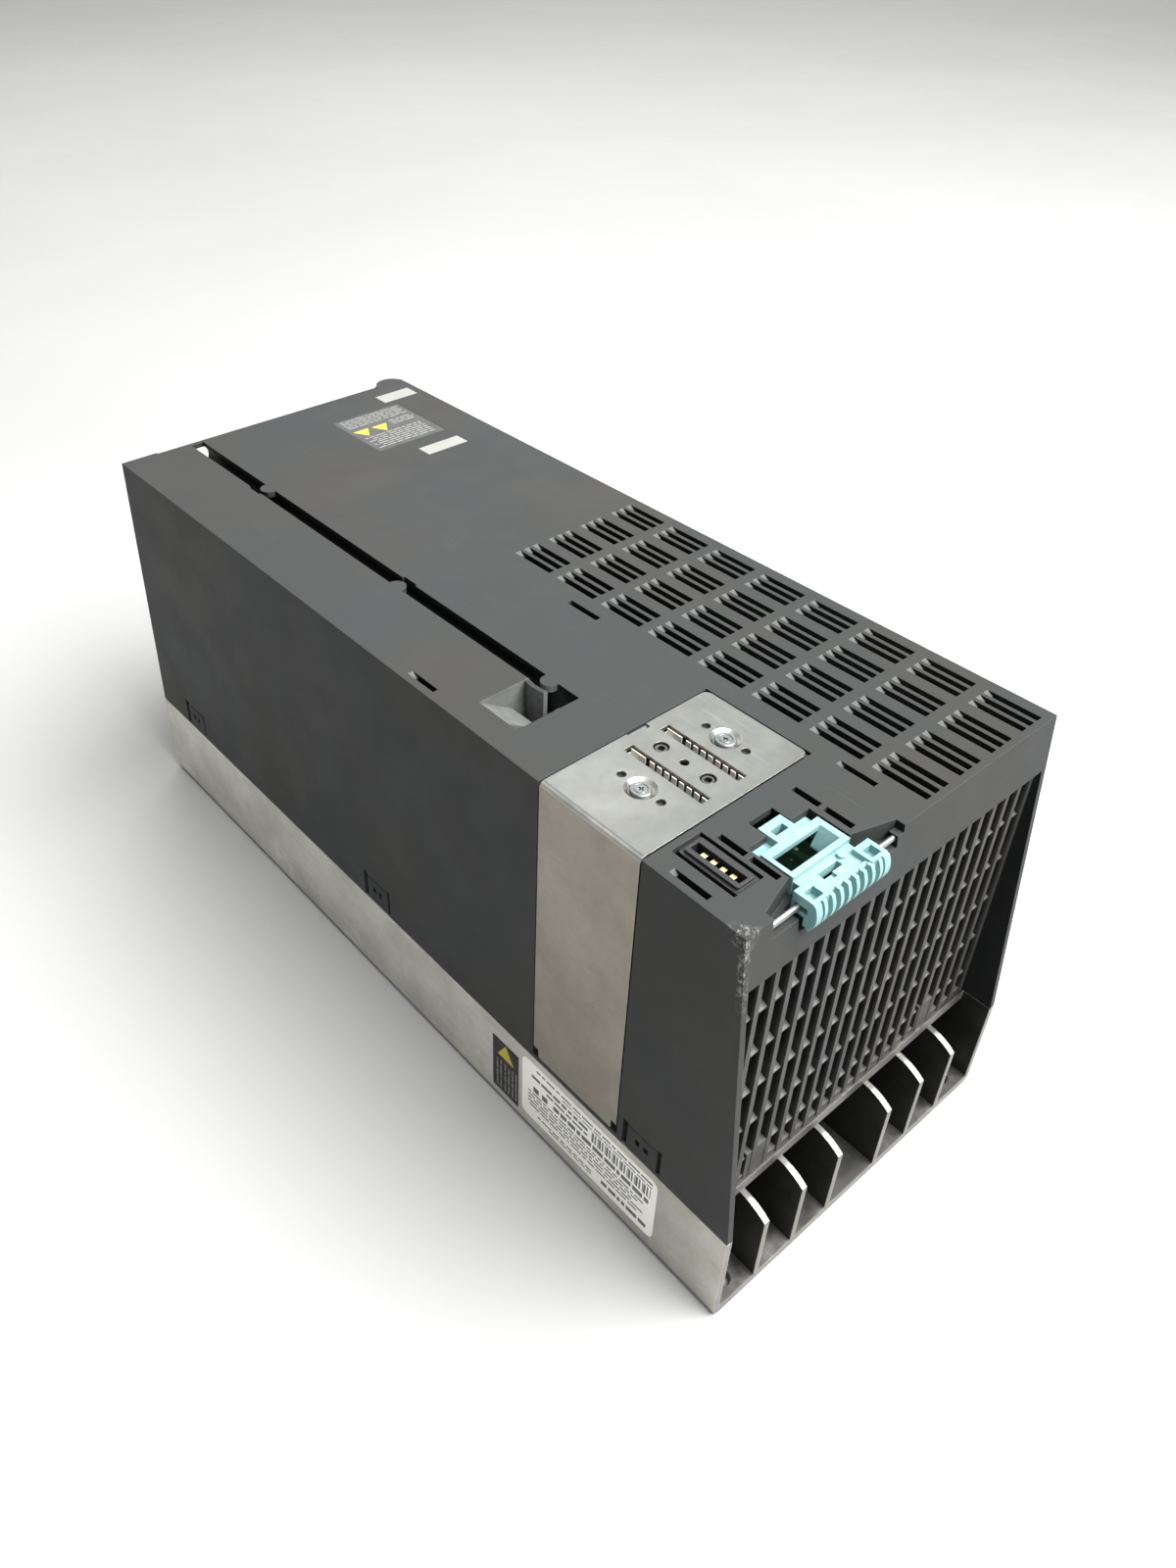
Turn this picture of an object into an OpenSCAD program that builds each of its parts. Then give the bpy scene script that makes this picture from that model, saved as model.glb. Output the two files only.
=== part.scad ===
// Servo drive, power unit: a finned heat sink at the back, a ventilated hood over the power
// electronics, a shield plate and a release latch for the control unit on the front face,
// and two fans and three terminal plugs at the lower end.
// The drive lies on its back: +Z points out of the front face, Z = 0 is the mounting plane,
// -Y is the upper end with the latch and +Y the lower end with the terminals.

/* [Body] */
// Overall width
body_w = 140; // [139:0.5:141]
// Overall length of the heat sink
body_l = 355; // [354:0.5:356]
// Overall depth from the mounting plane to the front face
body_h = 165; // [164.5:0.5:166]
// How far the front face ends before the heat sink at the latch end
inset_near = 12; // [11.5:0.5:12.5]
// How far the front face ends before the heat sink at the terminal end
inset_far = 6.5; // [6:0.5:7]

/* [Heat sink] */
// Height of the heat sink
sink_h = 42; // [41.5:0.5:42.5]
// Thickness of the side walls
sink_wall = 2.3; // [2:0.1:2.6]
// Thickness of the base plate
sink_base = 3.5; // [3:0.1:4]
// Thickness of the plate that carries the power modules
sink_top = 4.5; // [4:0.1:5]
// Thickness of a fin
fin_t = 2.2; // [1.8:0.1:2.6]
// Pitch of the fins on each side of the middle gap
fin_pitch = 18.1; // [17.5:0.1:18.5]
// Width of the middle gap, centre to centre
fin_gap = 26.2; // [25:0.1:27]

/* [Mounting] */
// Hole spacing across the width
mount_x = 120; // [119:0.5:121]
// Hole spacing along the length
mount_y = 343; // [342:0.5:344]
// Diameter of the mounting holes, for M5
mount_d = 6; // [5.5:0.1:6.2]

/* [Hood] */
// Thickness of the front face
face_t = 2.4; // [2.2:0.1:2.6]
// Thickness of the side walls
wall_t = 2.2; // [2:0.1:2.4]
// Width of the cable channel's mouth
channel_w = 5.5; // [5:0.1:6]
// Columns of vent groups
vent_cols = 4; // [3:1:4]
// Rows of vent groups
vent_rows = 8; // [4:1:8]
// Row pitch of the vent groups
vent_pitch = 22.5; // [21.5:0.1:22.6]

/* [Grille] */
// Openings across the end grille
grille_cols = 20; // [16:1:22]
// Height pitch of the cross ribs
grille_pitch = 18.75; // [17:0.05:19]

/* [Shield plate] */
// Length of the plate along the drive
plate_l = 40; // [39.5:0.1:40.5]
// Sheet thickness
plate_t = 1.2; // [1:0.1:1.2]
// Contact fingers in each row
finger_count = 8; // [6:1:8]

/* [Latch] */
// Travel of the release latch
latch_travel = 2; // [1.5:0.1:2]
// Diameter of the spring wire
wire_d = 1.8; // [1.6:0.1:1.8]
// Finger ribs on the grip
grip_ribs = 10; // [8:1:11]

/* [Fans] */
// Side of the square fan housings
fan_size = 60; // [59:0.5:60]
// Depth of the fan housings
fan_depth = 25; // [24:0.5:25]
// Blades of a rotor
blade_count = 7; // [5:1:9]

/* [Terminals] */
// Pitch of the terminals
pole_pitch = 10; // [9.8:0.1:10.2]
// How far a plug draws off its header
plug_travel = 22; // [20:1:22]

/* [Hidden] */
$fn = 48;

// Common places
half_w = body_w / 2;
half_l = body_l / 2;
inner_x = half_w - wall_t;             // inner face of the hood's side walls
near_y = -half_l + inset_near;         // front edge of the face, latch end
far_y = half_l - inset_far;            // front edge of the face, terminal end
face_in = body_h - face_t;             // inner side of the front face
hood_z = sink_h + 0.4;                 // lower edge of the hood
gap = 0.05;                            // radial clearance of screws and pins

// Heat sink
sink_top_z = sink_h - sink_top;        // underside of the module plate
sink_top_near = -half_l + 11;          // latch end of the module plate
fan_bay = 136;                         // terminal end of the fins and the module plate
fin_kink_z = 33;                       // height where a fin's end starts to curve back
fin_arc_r = 20;
fin_mid_x = -0.9;                      // middle of the fin pattern
fin_x = [for (side = [-1, 1]) for (i = [0:2]) fin_mid_x + side * (fin_gap / 2 + i * fin_pitch)];
corner_r = 3;

// Snap tabs on both sides of the hood
snap_y = [-140.5, 2.5, 145];
snap_half = 7.5;
snap_top = 55.5;

// Control unit's centre line and the shield plate under it
cu_x = -32.5;
plate_y0 = -129.3;
plate_y1 = plate_y0 + plate_l;
plate_ym = (plate_y0 + plate_y1) / 2;
plate_x1 = -1.8;
plate_foot = 44.5;
pan_dx = 17.4;                         // pan-head screws each side of the centre line
socket_dy = 9.2;                       // socket screws each side of the plate's middle
finger_dx = 7.5;                       // rows of contact fingers each side of the centre line
finger_len = 30.6;                     // length of a finger slot
finger_step = 2.9;
strip_z = 157.3;                       // underside of the fingers
leaf_top = 164.2;                      // tips of the contact fingers
dish_z = 163.9;                        // floor of the dished rings
carrier_screw_r = 1.5;
carrier_z = 151;                       // underside of the contact carrier

// Cable channel and the pocket at its end
channel_x = -37.2;
channel_z = 159.3;
channel_r = 4.7;
pocket_lo = [-59.6, -67.3];
pocket_hi = [-34.8, -49.4];
pocket_z = 151.5;

// Vents: groups of three slots
vent_x = 8.4;                          // first slot
vent_y = 13;                           // terminal end of the first row
vent_group = 15.85;                    // pitch of the groups across the width
slot_pitch = 4.05;
slot_w = 2.5;
slot_l = 18.6;

// Latch
latch_x = -33.1;
latch_body_w = 23.3;
latch_z = 158.8;                       // underside of the latch
wire_y = -164.3;
wire_z = 161;
latch_front = -168.7;                  // face of the grip between its ribs
latch_grip_z = 156;                    // lower edge of the grip

// Boards
board_z = 66;                          // underside of the power board
board_t = 2;
board_top = board_z + board_t;
control_z = 146;                       // underside of the control board
control_t = 1.6;
boss_xy = [[-64, -130.5], [-8, -130.5], [-64, -82], [-8, -82]];
standoff_xy = [for (x = [-58, 58]) for (y = [-152, -5, 125]) [x, y]];

// Power modules on the heat sink
module_lo = [-61, 20];
module_size = [122, 62, 17];
rectifier_lo = [-45, -110];
rectifier_size = [90, 40, 17];
module_screw_xy = [for (x = [-55, 55]) for (y = [25, 77]) [x, y]];
rectifier_screw_xy = [for (x = [-38, 38]) [x, -90]];

// Parts on the power board
choke_at = [-37, 102, board_top + 2];
sensor_x = [-10, 5, 20];

// Labels lie in shallow seats
label_t = 0.15;
label_in = 0.08;                       // how far a label's face stays below the surface
label_z = body_h - label_in - label_t;

// Fans
fan_y0 = 140;
fan_y1 = fan_y0 + fan_depth;
fan_x = [-30.3, 30.3];
fan_z = sink_base + 0.5 + fan_size / 2;
fan_hole = 25;                         // half the fixing pitch of a fan
rotor_r = 27.2;
cup_r = 13.5;
shaft_r = 1.5;
bearing_r = 4;

// Terminals
header_y0 = 132;
header_back = 8;
header_y1 = header_y0 + header_back + plug_travel;
header_wall = 1.5;
plug_z0 = 72.3;
plug_z1 = 101.7;
plug_y0 = header_y0 + header_back + 0.3;
plug_y1 = 176.5;
screw_y = 170.5;                       // clamping screws of the plugs
wire_z0 = 76;                          // lower edge of the wire entries
entry_w = 7.6;
entry_h = 9.4;
panel_y0 = 163;
panel_y1 = 165.5;
// Each terminal block: middle in X and number of poles
line_block = [-42, 4];
motor_block = [5, 4];
brake_block = [47, 3];

// ---------------------------------------------------------------- helpers

// Box between its lowest and its highest corner
module span(lo, hi) {
    translate(lo) cube(hi - lo);
}

// Outline drawn in Y and Z, extruded along X
module along_x(x0, x1) {
    translate([x0, 0, 0]) rotate([90, 0, 90]) linear_extrude(x1 - x0) children();
}

// Outline drawn in X and Z, extruded along Y
module along_y(y0, y1) {
    translate([0, y1, 0]) rotate([90, 0, 0]) linear_extrude(y1 - y0) children();
}

module pin_x(r, x0, x1, y, z) {
    translate([x0, y, z]) rotate([0, 90, 0]) cylinder(r = r, h = x1 - x0);
}

module pin_y(r, y0, y1, x, z) {
    translate([x, y1, z]) rotate([90, 0, 0]) cylinder(r = r, h = y1 - y0);
}

module pin_z(r, z0, z1, x, y) {
    translate([x, y, z0]) cylinder(r = r, h = z1 - z0);
}

// Ring of round wire around an axis along Y
module ring_y(ring_r, wire_r, x, y, z) {
    translate([x, y, z]) rotate([90, 0, 0])
        rotate_extrude() translate([ring_r, 0]) circle(r = wire_r, $fn = 16);
}

// Screw that points down, its head resting at z with a cross recess in it
module screw_down(x, y, z, shank_r, shank_l, head_r, head_h) {
    difference() {
        union() {
            pin_z(shank_r, z - shank_l, z, x, y);
            pin_z(head_r, z, z + head_h * 0.6, x, y);
            translate([x, y, z + head_h * 0.6])
                cylinder(r1 = head_r, r2 = head_r * 0.72, h = head_h * 0.4);
        }
        for (a = [0, 90])
            translate([x, y, z + head_h]) rotate([0, 0, a])
                cube([head_r * 1.1, head_r * 0.25, head_h], center = true);
    }
}

// Flat outline with rounded corners
module rounded(lo, hi, r) {
    translate(lo + [r, 0]) square(hi - lo - [2 * r, 0]);
    translate(lo + [0, r]) square(hi - lo - [0, 2 * r]);
    for (x = [lo[0] + r, hi[0] - r])
        for (y = [lo[1] + r, hi[1] - r])
            translate([x, y]) circle(r = r);
}

// ---------------------------------------------------------------- heat sink

// Base plate and side walls, seen along the drive
module sink_walls() {
    difference() {
        union() {
            translate([-half_w + corner_r, 0]) square([body_w - 2 * corner_r, sink_h]);
            translate([-half_w, corner_r]) square([body_w, sink_h - corner_r]);
            for (side = [-1, 1])
                translate([side * (half_w - corner_r), corner_r]) circle(r = corner_r);
        }
        translate([-half_w + sink_wall, sink_base]) square([body_w - 2 * sink_wall, sink_h]);
    }
}

// What is cut off the fins' ends at the latch end: all that lies above an arc
module fin_end_cut() {
    chord = [sink_top_near + half_l, sink_top_z - fin_kink_z];
    chord_l = norm(chord);
    rise = sqrt(fin_arc_r * fin_arc_r - chord_l * chord_l / 4);
    centre = [-half_l, fin_kink_z] + chord / 2 + rise * [chord[1], -chord[0]] / chord_l;
    inside = half_w - sink_wall;
    difference() {
        span([-inside, -half_l - 1, fin_kink_z], [inside, sink_top_near, sink_top_z + 0.5]);
        pin_x(fin_arc_r, -inside - 1, inside + 1, centre[0], centre[1]);
    }
}

module heat_sink() {
    inside = half_w - sink_wall;
    boss_x = 22;
    color("darkgray") difference() {
        union() {
            along_y(-half_l, half_l) sink_walls();
            span([-inside - 0.1, sink_top_near, sink_top_z], [inside + 0.1, fan_bay, sink_h]);
            for (x = fin_x)
                span([x - fin_t / 2, -half_l, sink_base - 0.1], [x + fin_t / 2, fan_bay, sink_top_z + 0.1]);
            for (side = [-1, 1])
                span([side * boss_x - 5, 167, sink_base - 0.1], [side * boss_x + 5, 176, 9.5]);
        }
        fin_end_cut();
        for (x = [-mount_x / 2, mount_x / 2])
            for (y = [-mount_y / 2, mount_y / 2])
                pin_z(mount_d / 2, -1, sink_base + 1, x, y);
        for (side = [-1, 1])
            pin_z(2.1 + gap, 2, 10, side * boss_x, mount_y / 2);
        // Openings that the hood's snap hooks reach through
        for (side = [-1, 1])
            for (y = snap_y)
                if (y < fan_bay)
                    span([side * (inside + 64) / 2 - (inside - 64) / 2, y - 6.5, sink_top_z - 0.5],
                         [side * (inside + 64) / 2 + (inside - 64) / 2, y + 6.5, sink_h + 1]);
        for (p = concat(module_screw_xy, rectifier_screw_xy, standoff_xy))
            pin_z(2 + gap, sink_top_z - 1, sink_h + 1, p[0], p[1]);
        // Shallow seat of the two labels in the side wall
        span([-half_w - 1, -149.3, 7], [-half_w + label_in + label_t, -83.5, 38.5]);
        span([-half_w - 1, -81.7, 5], [-half_w + label_in + label_t, -67.2, 34]);
    }
}

// ---------------------------------------------------------------- hood

module hood_outside() {
    along_x(-half_w, half_w) polygon([
        [-half_l, hood_z], [near_y, body_h], [far_y, body_h], [half_l, hood_z]
    ]);
}

// The hood's inside: open at the bottom, at the terminal end, and below the band at the latch end
module hood_inside() {
    band_z = 145.5;
    span([-inner_x, -half_l - 1, hood_z - 1], [inner_x, half_l + 1, band_z]);
    span([-inner_x, near_y + 2.4, band_z - 1], [inner_x, half_l + 1, face_in]);
}

// Slot through the face along Y, with a bevel at its far end
module bevel_slot(x, y_near, y_far, width, bevel) {
    y_dark = y_far - bevel;
    along_x(x - width / 2, x + width / 2) polygon([
        [y_near, face_in - 1], [y_dark, face_in - 1], [y_dark, body_h - 1.4],
        [y_far, body_h + 0.1], [y_near, body_h + 0.1]
    ]);
}

module vents() {
    for (row = [0 : vent_rows - 1])
        for (col = [0 : vent_cols - 1])
            for (i = [0 : 2]) {
                y = vent_y - row * vent_pitch;
                bevel_slot(vent_x + col * vent_group + i * slot_pitch, y - slot_l, y, slot_w, 2.4);
            }
}

// Narrow slots around the latch and beside the vents, which the control unit's hooks enter
module hook_slots() {
    for (side = [-1, 1]) {
        x = cu_x + side * 15.15;
        span([x - 1.1, -145.7, face_in - 1], [x + 1.1, -136.3, body_h + 1]);
        span([x - 1.1, -157, face_in - 1], [x + 1.1, -147.4, body_h + 1]);
        bevel_slot(cu_x + side * 34, -150.4, -137.2, 2.1, 1.6);
    }
    bevel_slot(0, -38.6, -24.2, 2.3, 0);
    bevel_slot(-66.3, -36.3, -23.2, 2, 2.6);
}

module channel_tub() {
    intersection() {
        pin_y(channel_r + 1.3, pocket_hi[1] - 1, far_y - 2, channel_x, channel_z);
        span([-50, -60, 140], [-25, half_l, face_in + 0.1]);
    }
}

module channel_cut() {
    pin_y(channel_r, pocket_hi[1] - 2, far_y - 2, channel_x, channel_z);
    span([channel_x - channel_w / 2, pocket_hi[1] - 2, channel_z],
         [channel_x + channel_w / 2, far_y - 2, body_h + 1]);
    // Notches opposite the retaining noses
    span([channel_x - channel_w / 2 - 0.8, 112, face_in - 1], [channel_x, 120, body_h + 1]);
    span([channel_x, 17.5, face_in - 1], [channel_x + channel_w / 2 + 0.8, 25, body_h + 1]);
}

// Noses that keep a cable in the channel
module channel_noses() {
    pin_z(3.6, face_in, body_h, channel_x + 2.2, 113.8);
    pin_z(3.5, face_in, body_h, channel_x - 2.3, 21.6);
    pin_z(3.1, face_in, body_h, channel_x + 1.6, -54.6);
    // Curved lip at the pocket
    intersection() {
        difference() {
            pin_z(16, pocket_z, body_h - 0.2, channel_x + 11.2, -53.8);
            pin_z(14.4, pocket_z - 1, body_h, channel_x + 11.2, -53.8);
        }
        span([-46, -58.3, pocket_z - 0.1], [-39, pocket_hi[1] + 0.5, body_h]);
    }
    span([-40.6, pocket_lo[1] - 0.1, pocket_z - 0.1], [-38.8, -62.6, 160.5]);
}

module pocket_tub() {
    span([pocket_lo[0] - 1.5, pocket_lo[1] - 1.5, pocket_z - 1.5],
         [pocket_hi[0] + 1.5, pocket_hi[1] + 1.5, face_in + 0.1]);
}

module pocket_cut() {
    difference() {
        span([pocket_lo[0], pocket_lo[1], pocket_z], [pocket_hi[0], pocket_hi[1], body_h + 1]);
        along_y(-62.6, pocket_hi[1] + 0.1) polygon([
            [pocket_lo[0] - 0.1, pocket_z - 0.1], [-46.5, pocket_z - 0.1],
            [-46.5, 156.4], [pocket_lo[0] - 0.1, body_h - 0.4]
        ]);
    }
}

// Opening in the face for the latch, with wings where its spring wire shows
module latch_opening() {
    wing_z = 158.5;
    reach = 11.6;
    difference() {
        translate([0, 0, wing_z]) linear_extrude(body_h - wing_z + 1) polygon([
            [latch_x - latch_body_w / 2 - 1, -158.5], [-59.6, -162.6], [-59.6, near_y - 10],
            [-6, near_y - 10], [-6, -162.6], [latch_x + latch_body_w / 2 + 1.6, -158.5]
        ]);
        // Block that holds the right end of the wire
        span([-8.6, near_y - 1, wing_z - 0.1], [-5.9, -162.7, 162.3]);
    }
    span([latch_x - latch_body_w / 2 - 0.8, -166, wing_z - 8],
         [latch_x + latch_body_w / 2 + 0.8, -144.6, body_h + 1]);
    span([latch_x - 4.9, -150, wing_z - 4], [latch_x + 4.9, -137.9, body_h + 1]);
    span([latch_x - 16.4, near_y - 8, latch_grip_z - 2], [latch_x + 16.4, -161, body_h + 1]);
    pin_x(wire_d / 2 + gap, -59.6 - reach / 8, -6 + reach / 8, wire_y, wire_z);
}

// Floor and side cheeks under the wings
module latch_seat() {
    span([-61.6, near_y + 2, 156.5], [-4, -158, face_in + 0.1]);
}

module snap_hooks() {
    for (side = [-1, 1])
        for (y = snap_y)
            if (y < fan_bay) mirror([side < 0 ? 1 : 0, 0, 0]) {
                span([65.4, y - 4.5, 35.6], [67.6, y + 4.5, hood_z + 0.1]);
                span([65.4, y - 4.5, hood_z], [inner_x + 0.3, y + 4.5, hood_z + 4]);
                span([63, y - 4.5, 35.6], [65.5, y + 4.5, sink_top_z - 0.2]);
            }
}

// Slits that free the snap tabs, their sunk faces and the small windows in them
module snap_slits() {
    for (side = [-1, 1])
        for (y = snap_y) mirror([side < 0 ? 1 : 0, 0, 0]) {
            for (edge = [-1, 1])
                span([inner_x - 1, y + edge * snap_half - 0.95, hood_z - 1],
                     [half_w + 1, y + edge * snap_half + 0.95, snap_top]);
            along_y(y - snap_half, y + snap_half) polygon([
                [half_w - 0.3, hood_z - 1], [half_w - 0.3, snap_top - 2.4], [half_w - 1.1, snap_top - 0.4],
                [half_w + 1, snap_top - 0.4], [half_w + 1, hood_z - 1]
            ]);
            for (window = [-1.7, 2])
                span([inner_x - 1, y + window - 1.05, 47.4], [half_w + 1, y + window + 1.05, 50]);
        }
}

// Seat of the shield plate in the face and in the left wall
module plate_seat() {
    seat = plate_t + 0.05;
    span([-half_w - 1, plate_y0 - 0.6, body_h - seat], [plate_x1 + 0.5, plate_y1 + 0.6, body_h + 1]);
    span([-half_w - 1, plate_y0 - 0.6, plate_foot - 0.5], [-half_w + seat, plate_y1 + 0.6, body_h]);
    // Room for the inside of the sheet's bend
    along_y(plate_y0 - 0.6, plate_y1 + 0.6)
        translate([-half_w + plate_t, body_h - plate_t]) rotate(45) square(1.3, center = true);
    span([cu_x - 12, plate_ym - finger_len / 2 - 1, face_in - 1],
         [cu_x + 12, plate_ym + finger_len / 2 + 1, body_h]);
    for (side = [-1, 1])
        pin_z(6.4, face_in - 1, body_h, cu_x + side * pan_dx, plate_ym);
}

module label_seats() {
    translate([0, 0, body_h - label_in - label_t]) linear_extrude(1) {
        translate([18, 113.5]) square([34.4, 35.5]);
        translate([48.6, 153]) square([18, 8.2]);
        translate([32, 98]) square([20.5, 7.6]);
    }
}

// Sets the face back between its two corner ears and leaves a lower strip along its end
module terminal_end_cut() {
    along_x(-54.5, 55.5) polygon([
        [far_y - 2, 140], [half_l + 1, 140], [half_l + 1, body_h + 1], [far_y - 2, body_h + 1],
        [far_y - 2, body_h - 0.4], [far_y - 0.1, body_h - 0.4], [far_y - 0.1, 162], [far_y - 2, 162]
    ]);
}

module hood() {
    color("dimgray") difference() {
        union() {
            difference() {
                hood_outside();
                hood_inside();
            }
            pin_z(7, face_in, body_h, 63, 168.6);
            difference() {
                channel_tub();
                channel_cut();
            }
            pocket_tub();
            latch_seat();
            snap_hooks();
            for (p = boss_xy)
                pin_z(3, control_z + control_t, face_in + 0.1, p[0], p[1]);
        }
        terminal_end_cut();
        vents();
        hook_slots();
        difference() {
            union() {
                channel_cut();
                pocket_cut();
            }
            channel_noses();
        }
        latch_opening();
        snap_slits();
        plate_seat();
        label_seats();
        span([-61.6, -154.2, face_in - 1], [-50.2, -132.2, body_h + 1]);
        for (p = boss_xy)
            pin_z(1.2 + gap, control_z, face_in - 3, p[0], p[1]);
    }
}

// ---------------------------------------------------------------- end grille

module outlet_grille() {
    half = inner_x - 0.2;
    top = 145.3;
    pitch = (2 * half - 2) / grille_cols;
    y0 = near_y - 0.3;
    color("dimgray") union() {
        for (i = [0 : grille_cols])
            span([-half + i * pitch, y0, sink_h], [-half + i * pitch + 2, y0 + 5.5, top]);
        // Cross ribs with tops that rise towards the inside
        for (i = [0 : 4])
            translate([0, y0, 52.2 + i * grille_pitch]) along_x(-half + 1, half - 1)
                polygon([[0.7, 0], [0.7, 0.5], [6, 3], [6, 1.6]]);
        span([-half + 1, y0 + 0.4, top - 2.2], [half - 1, y0 + 5.5, top]);
        span([-half + 1, y0 + 0.4, sink_h], [half - 1, y0 + 5.5, sink_h + 2.2]);
        for (x = [-45, 43])
            span([x - 5, y0 + 0.2, sink_h], [x + 5, y0 + 3, 55]);
    }
}

// ---------------------------------------------------------------- shield plate and contacts

// Bent sheet, seen along the drive
module plate_section() {
    bend = 2;
    difference() {
        union() {
            translate([-half_w + bend, plate_foot]) square([plate_x1 + half_w - bend, body_h - plate_foot]);
            translate([-half_w, plate_foot]) square([bend + 1, body_h - bend - plate_foot]);
            translate([-half_w + bend, body_h - bend]) circle(r = bend);
        }
        translate([-half_w + plate_t, plate_foot - 1]) square([body_w, body_h - bend - plate_foot + 1]);
        translate([-half_w + bend, plate_foot]) square([body_w, body_h - plate_t - plate_foot]);
        translate([-half_w + bend, body_h - bend]) circle(r = bend - plate_t);
    }
}

module shield_plate() {
    foot_notch = 2.4;
    corner = 2.5;
    color("silver") difference() {
        union() {
            along_y(plate_y0, plate_y1) plate_section();
            for (side = [-1, 1])
                translate([cu_x + side * pan_dx, plate_ym, dish_z - plate_t])
                    cylinder(r1 = 4.7, r2 = 5.9, h = body_h - dish_z + 0.1);
        }
        // Rounded corners at the free end
        for (side = [-1, 1])
            translate([plate_x1 - corner, side > 0 ? plate_y1 - corner : plate_y0 + corner, body_h - 3])
                rotate([0, 0, side > 0 ? 0 : -90]) difference() {
                    cube([corner + 1, corner + 1, 5]);
                    translate([0, 0, -1]) cylinder(r = corner, h = 8);
                }
        for (y = [plate_y0 - 1, plate_y1 - foot_notch])
            span([-half_w - 1, y, plate_foot - 1], [-half_w + 3, y + foot_notch + 1, plate_foot + 4]);
        for (side = [-1, 1]) {
            x = cu_x + side * finger_dx;
            span([x - 1.8, plate_ym - finger_len / 2, 160],
                 [x + 1.8, plate_ym + finger_len / 2, body_h + 1]);
            translate([cu_x + side * pan_dx, plate_ym, dish_z])
                cylinder(r1 = 3.7, r2 = 4.9, h = body_h - dish_z + 0.01);
            pin_z(2 + gap, 161, body_h, cu_x + side * pan_dx, plate_ym);
            for (end = [-1, 1])
                pin_z(1.4, 162, body_h + 1, cu_x + side * pan_dx, plate_ym + end * 7.8);
            pin_z(2.4, 162, body_h + 1, cu_x, plate_ym + side * socket_dy);
        }
        pin_z(1.4, 162, body_h + 1, cu_x, plate_ym);
        // Pressed step at the far edge
        span([cu_x - 3.6, plate_y1 - 1.8, body_h - 0.6], [cu_x + 4.4, plate_y1 + 1, body_h + 1]);
    }
}

// Flat-headed screw, almost flush, with a ring and a small drive recess in its head
module flat_screw() {
    difference() {
        union() {
            translate([0, 0, -10]) cylinder(r = 2, h = 10.1);
            cylinder(r = 3.3, h = 0.7);
            translate([0, 0, 0.7]) cylinder(r1 = 3.3, r2 = 3, h = 0.25);
        }
        translate([0, 0, 0.8]) difference() {
            cylinder(r = 2.15, h = 1);
            translate([0, 0, -0.1]) cylinder(r = 1.85, h = 2);
        }
        for (a = [0, 90])
            rotate([0, 0, a]) translate([0, 0, 0.8]) cube([1.9, 0.5, 1], center = true);
    }
}

module shield_screws() {
    color("gainsboro") for (side = [-1, 1])
        translate([cu_x + side * pan_dx, plate_ym, dish_z]) flat_screw();
}

// Plastic block under the plate that holds the contact fingers and the screws
module contact_carrier() {
    color([0.15, 0.15, 0.16]) difference() {
        union() {
            span([cu_x - 25, plate_ym - 17, 158.6], [cu_x + 25, plate_ym + 17, face_in - 0.1]);
            span([cu_x - 22, plate_ym - 15.8, carrier_z], [cu_x + 22, plate_ym + 15.8, 158.7]);
        }
        for (side = [-1, 1]) {
            span([cu_x + side * finger_dx - 2, plate_ym - finger_len / 2, strip_z - 0.3],
                 [cu_x + side * finger_dx + 2, plate_ym + finger_len / 2, face_in + 1]);
            pin_z(2 + gap, carrier_z + 1, face_in, cu_x + side * pan_dx, plate_ym);
            pin_z(carrier_screw_r + gap, carrier_z + 1, face_in, cu_x, plate_ym + side * socket_dy);
        }
    }
}

// Outline of one curved contact finger, seen along the drive
module finger_outline() {
    leaf_r = 9;
    intersection() {
        translate([1.3 - leaf_r, leaf_top - 1]) difference() {
            circle(r = leaf_r);
            circle(r = leaf_r - 0.3);
        }
        translate([-1.7, strip_z]) square([3.4, leaf_top - strip_z]);
    }
}

// Two rows of curved fingers and a wide end leaf, each row on a strip with a bent-up far end
module contact_springs() {
    finger_w = 1.8;
    sheet = 0.3;
    y0 = plate_ym - finger_len / 2 + 0.2;
    y1 = plate_ym + finger_len / 2 - 0.2;
    color("silver") for (side = [-1, 1]) translate([cu_x + side * finger_dx, 0, 0]) {
        span([-1.7, y0, strip_z - 0.3], [1.7, y1, strip_z + 0.1]);
        span([-1.7, y1 - sheet, strip_z], [1.7, y1, 163]);
        for (i = [0 : finger_count - 1])
            along_y(y0 + 0.4 + i * finger_step, y0 + 0.4 + i * finger_step + finger_w) finger_outline();
        along_y(y1 - 6, y1 - sheet / 2) finger_outline();
    }
}

module carrier_screws() {
    color([0.25, 0.25, 0.26]) for (side = [-1, 1]) difference() {
        union() {
            pin_z(carrier_screw_r, carrier_z + 2, face_in, cu_x, plate_ym + side * socket_dy);
            pin_z(2.15, face_in - 0.1, 164.2, cu_x, plate_ym + side * socket_dy);
            translate([cu_x, plate_ym + side * socket_dy, 164.2]) cylinder(r1 = 2.15, r2 = 1.85, h = 0.35);
        }
        translate([cu_x, plate_ym + side * socket_dy, 163]) cylinder(r = 1.25, h = 2, $fn = 6);
    }
}

// ---------------------------------------------------------------- release latch

// Outline of one finger rib, seen along X
module rib_outline() {
    intersection() {
        translate([latch_front + 6.6, 160.4]) circle(r = 8.3);
        translate([latch_front - 2, latch_grip_z - 0.6]) square([3, 9.2]);
    }
}

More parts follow.
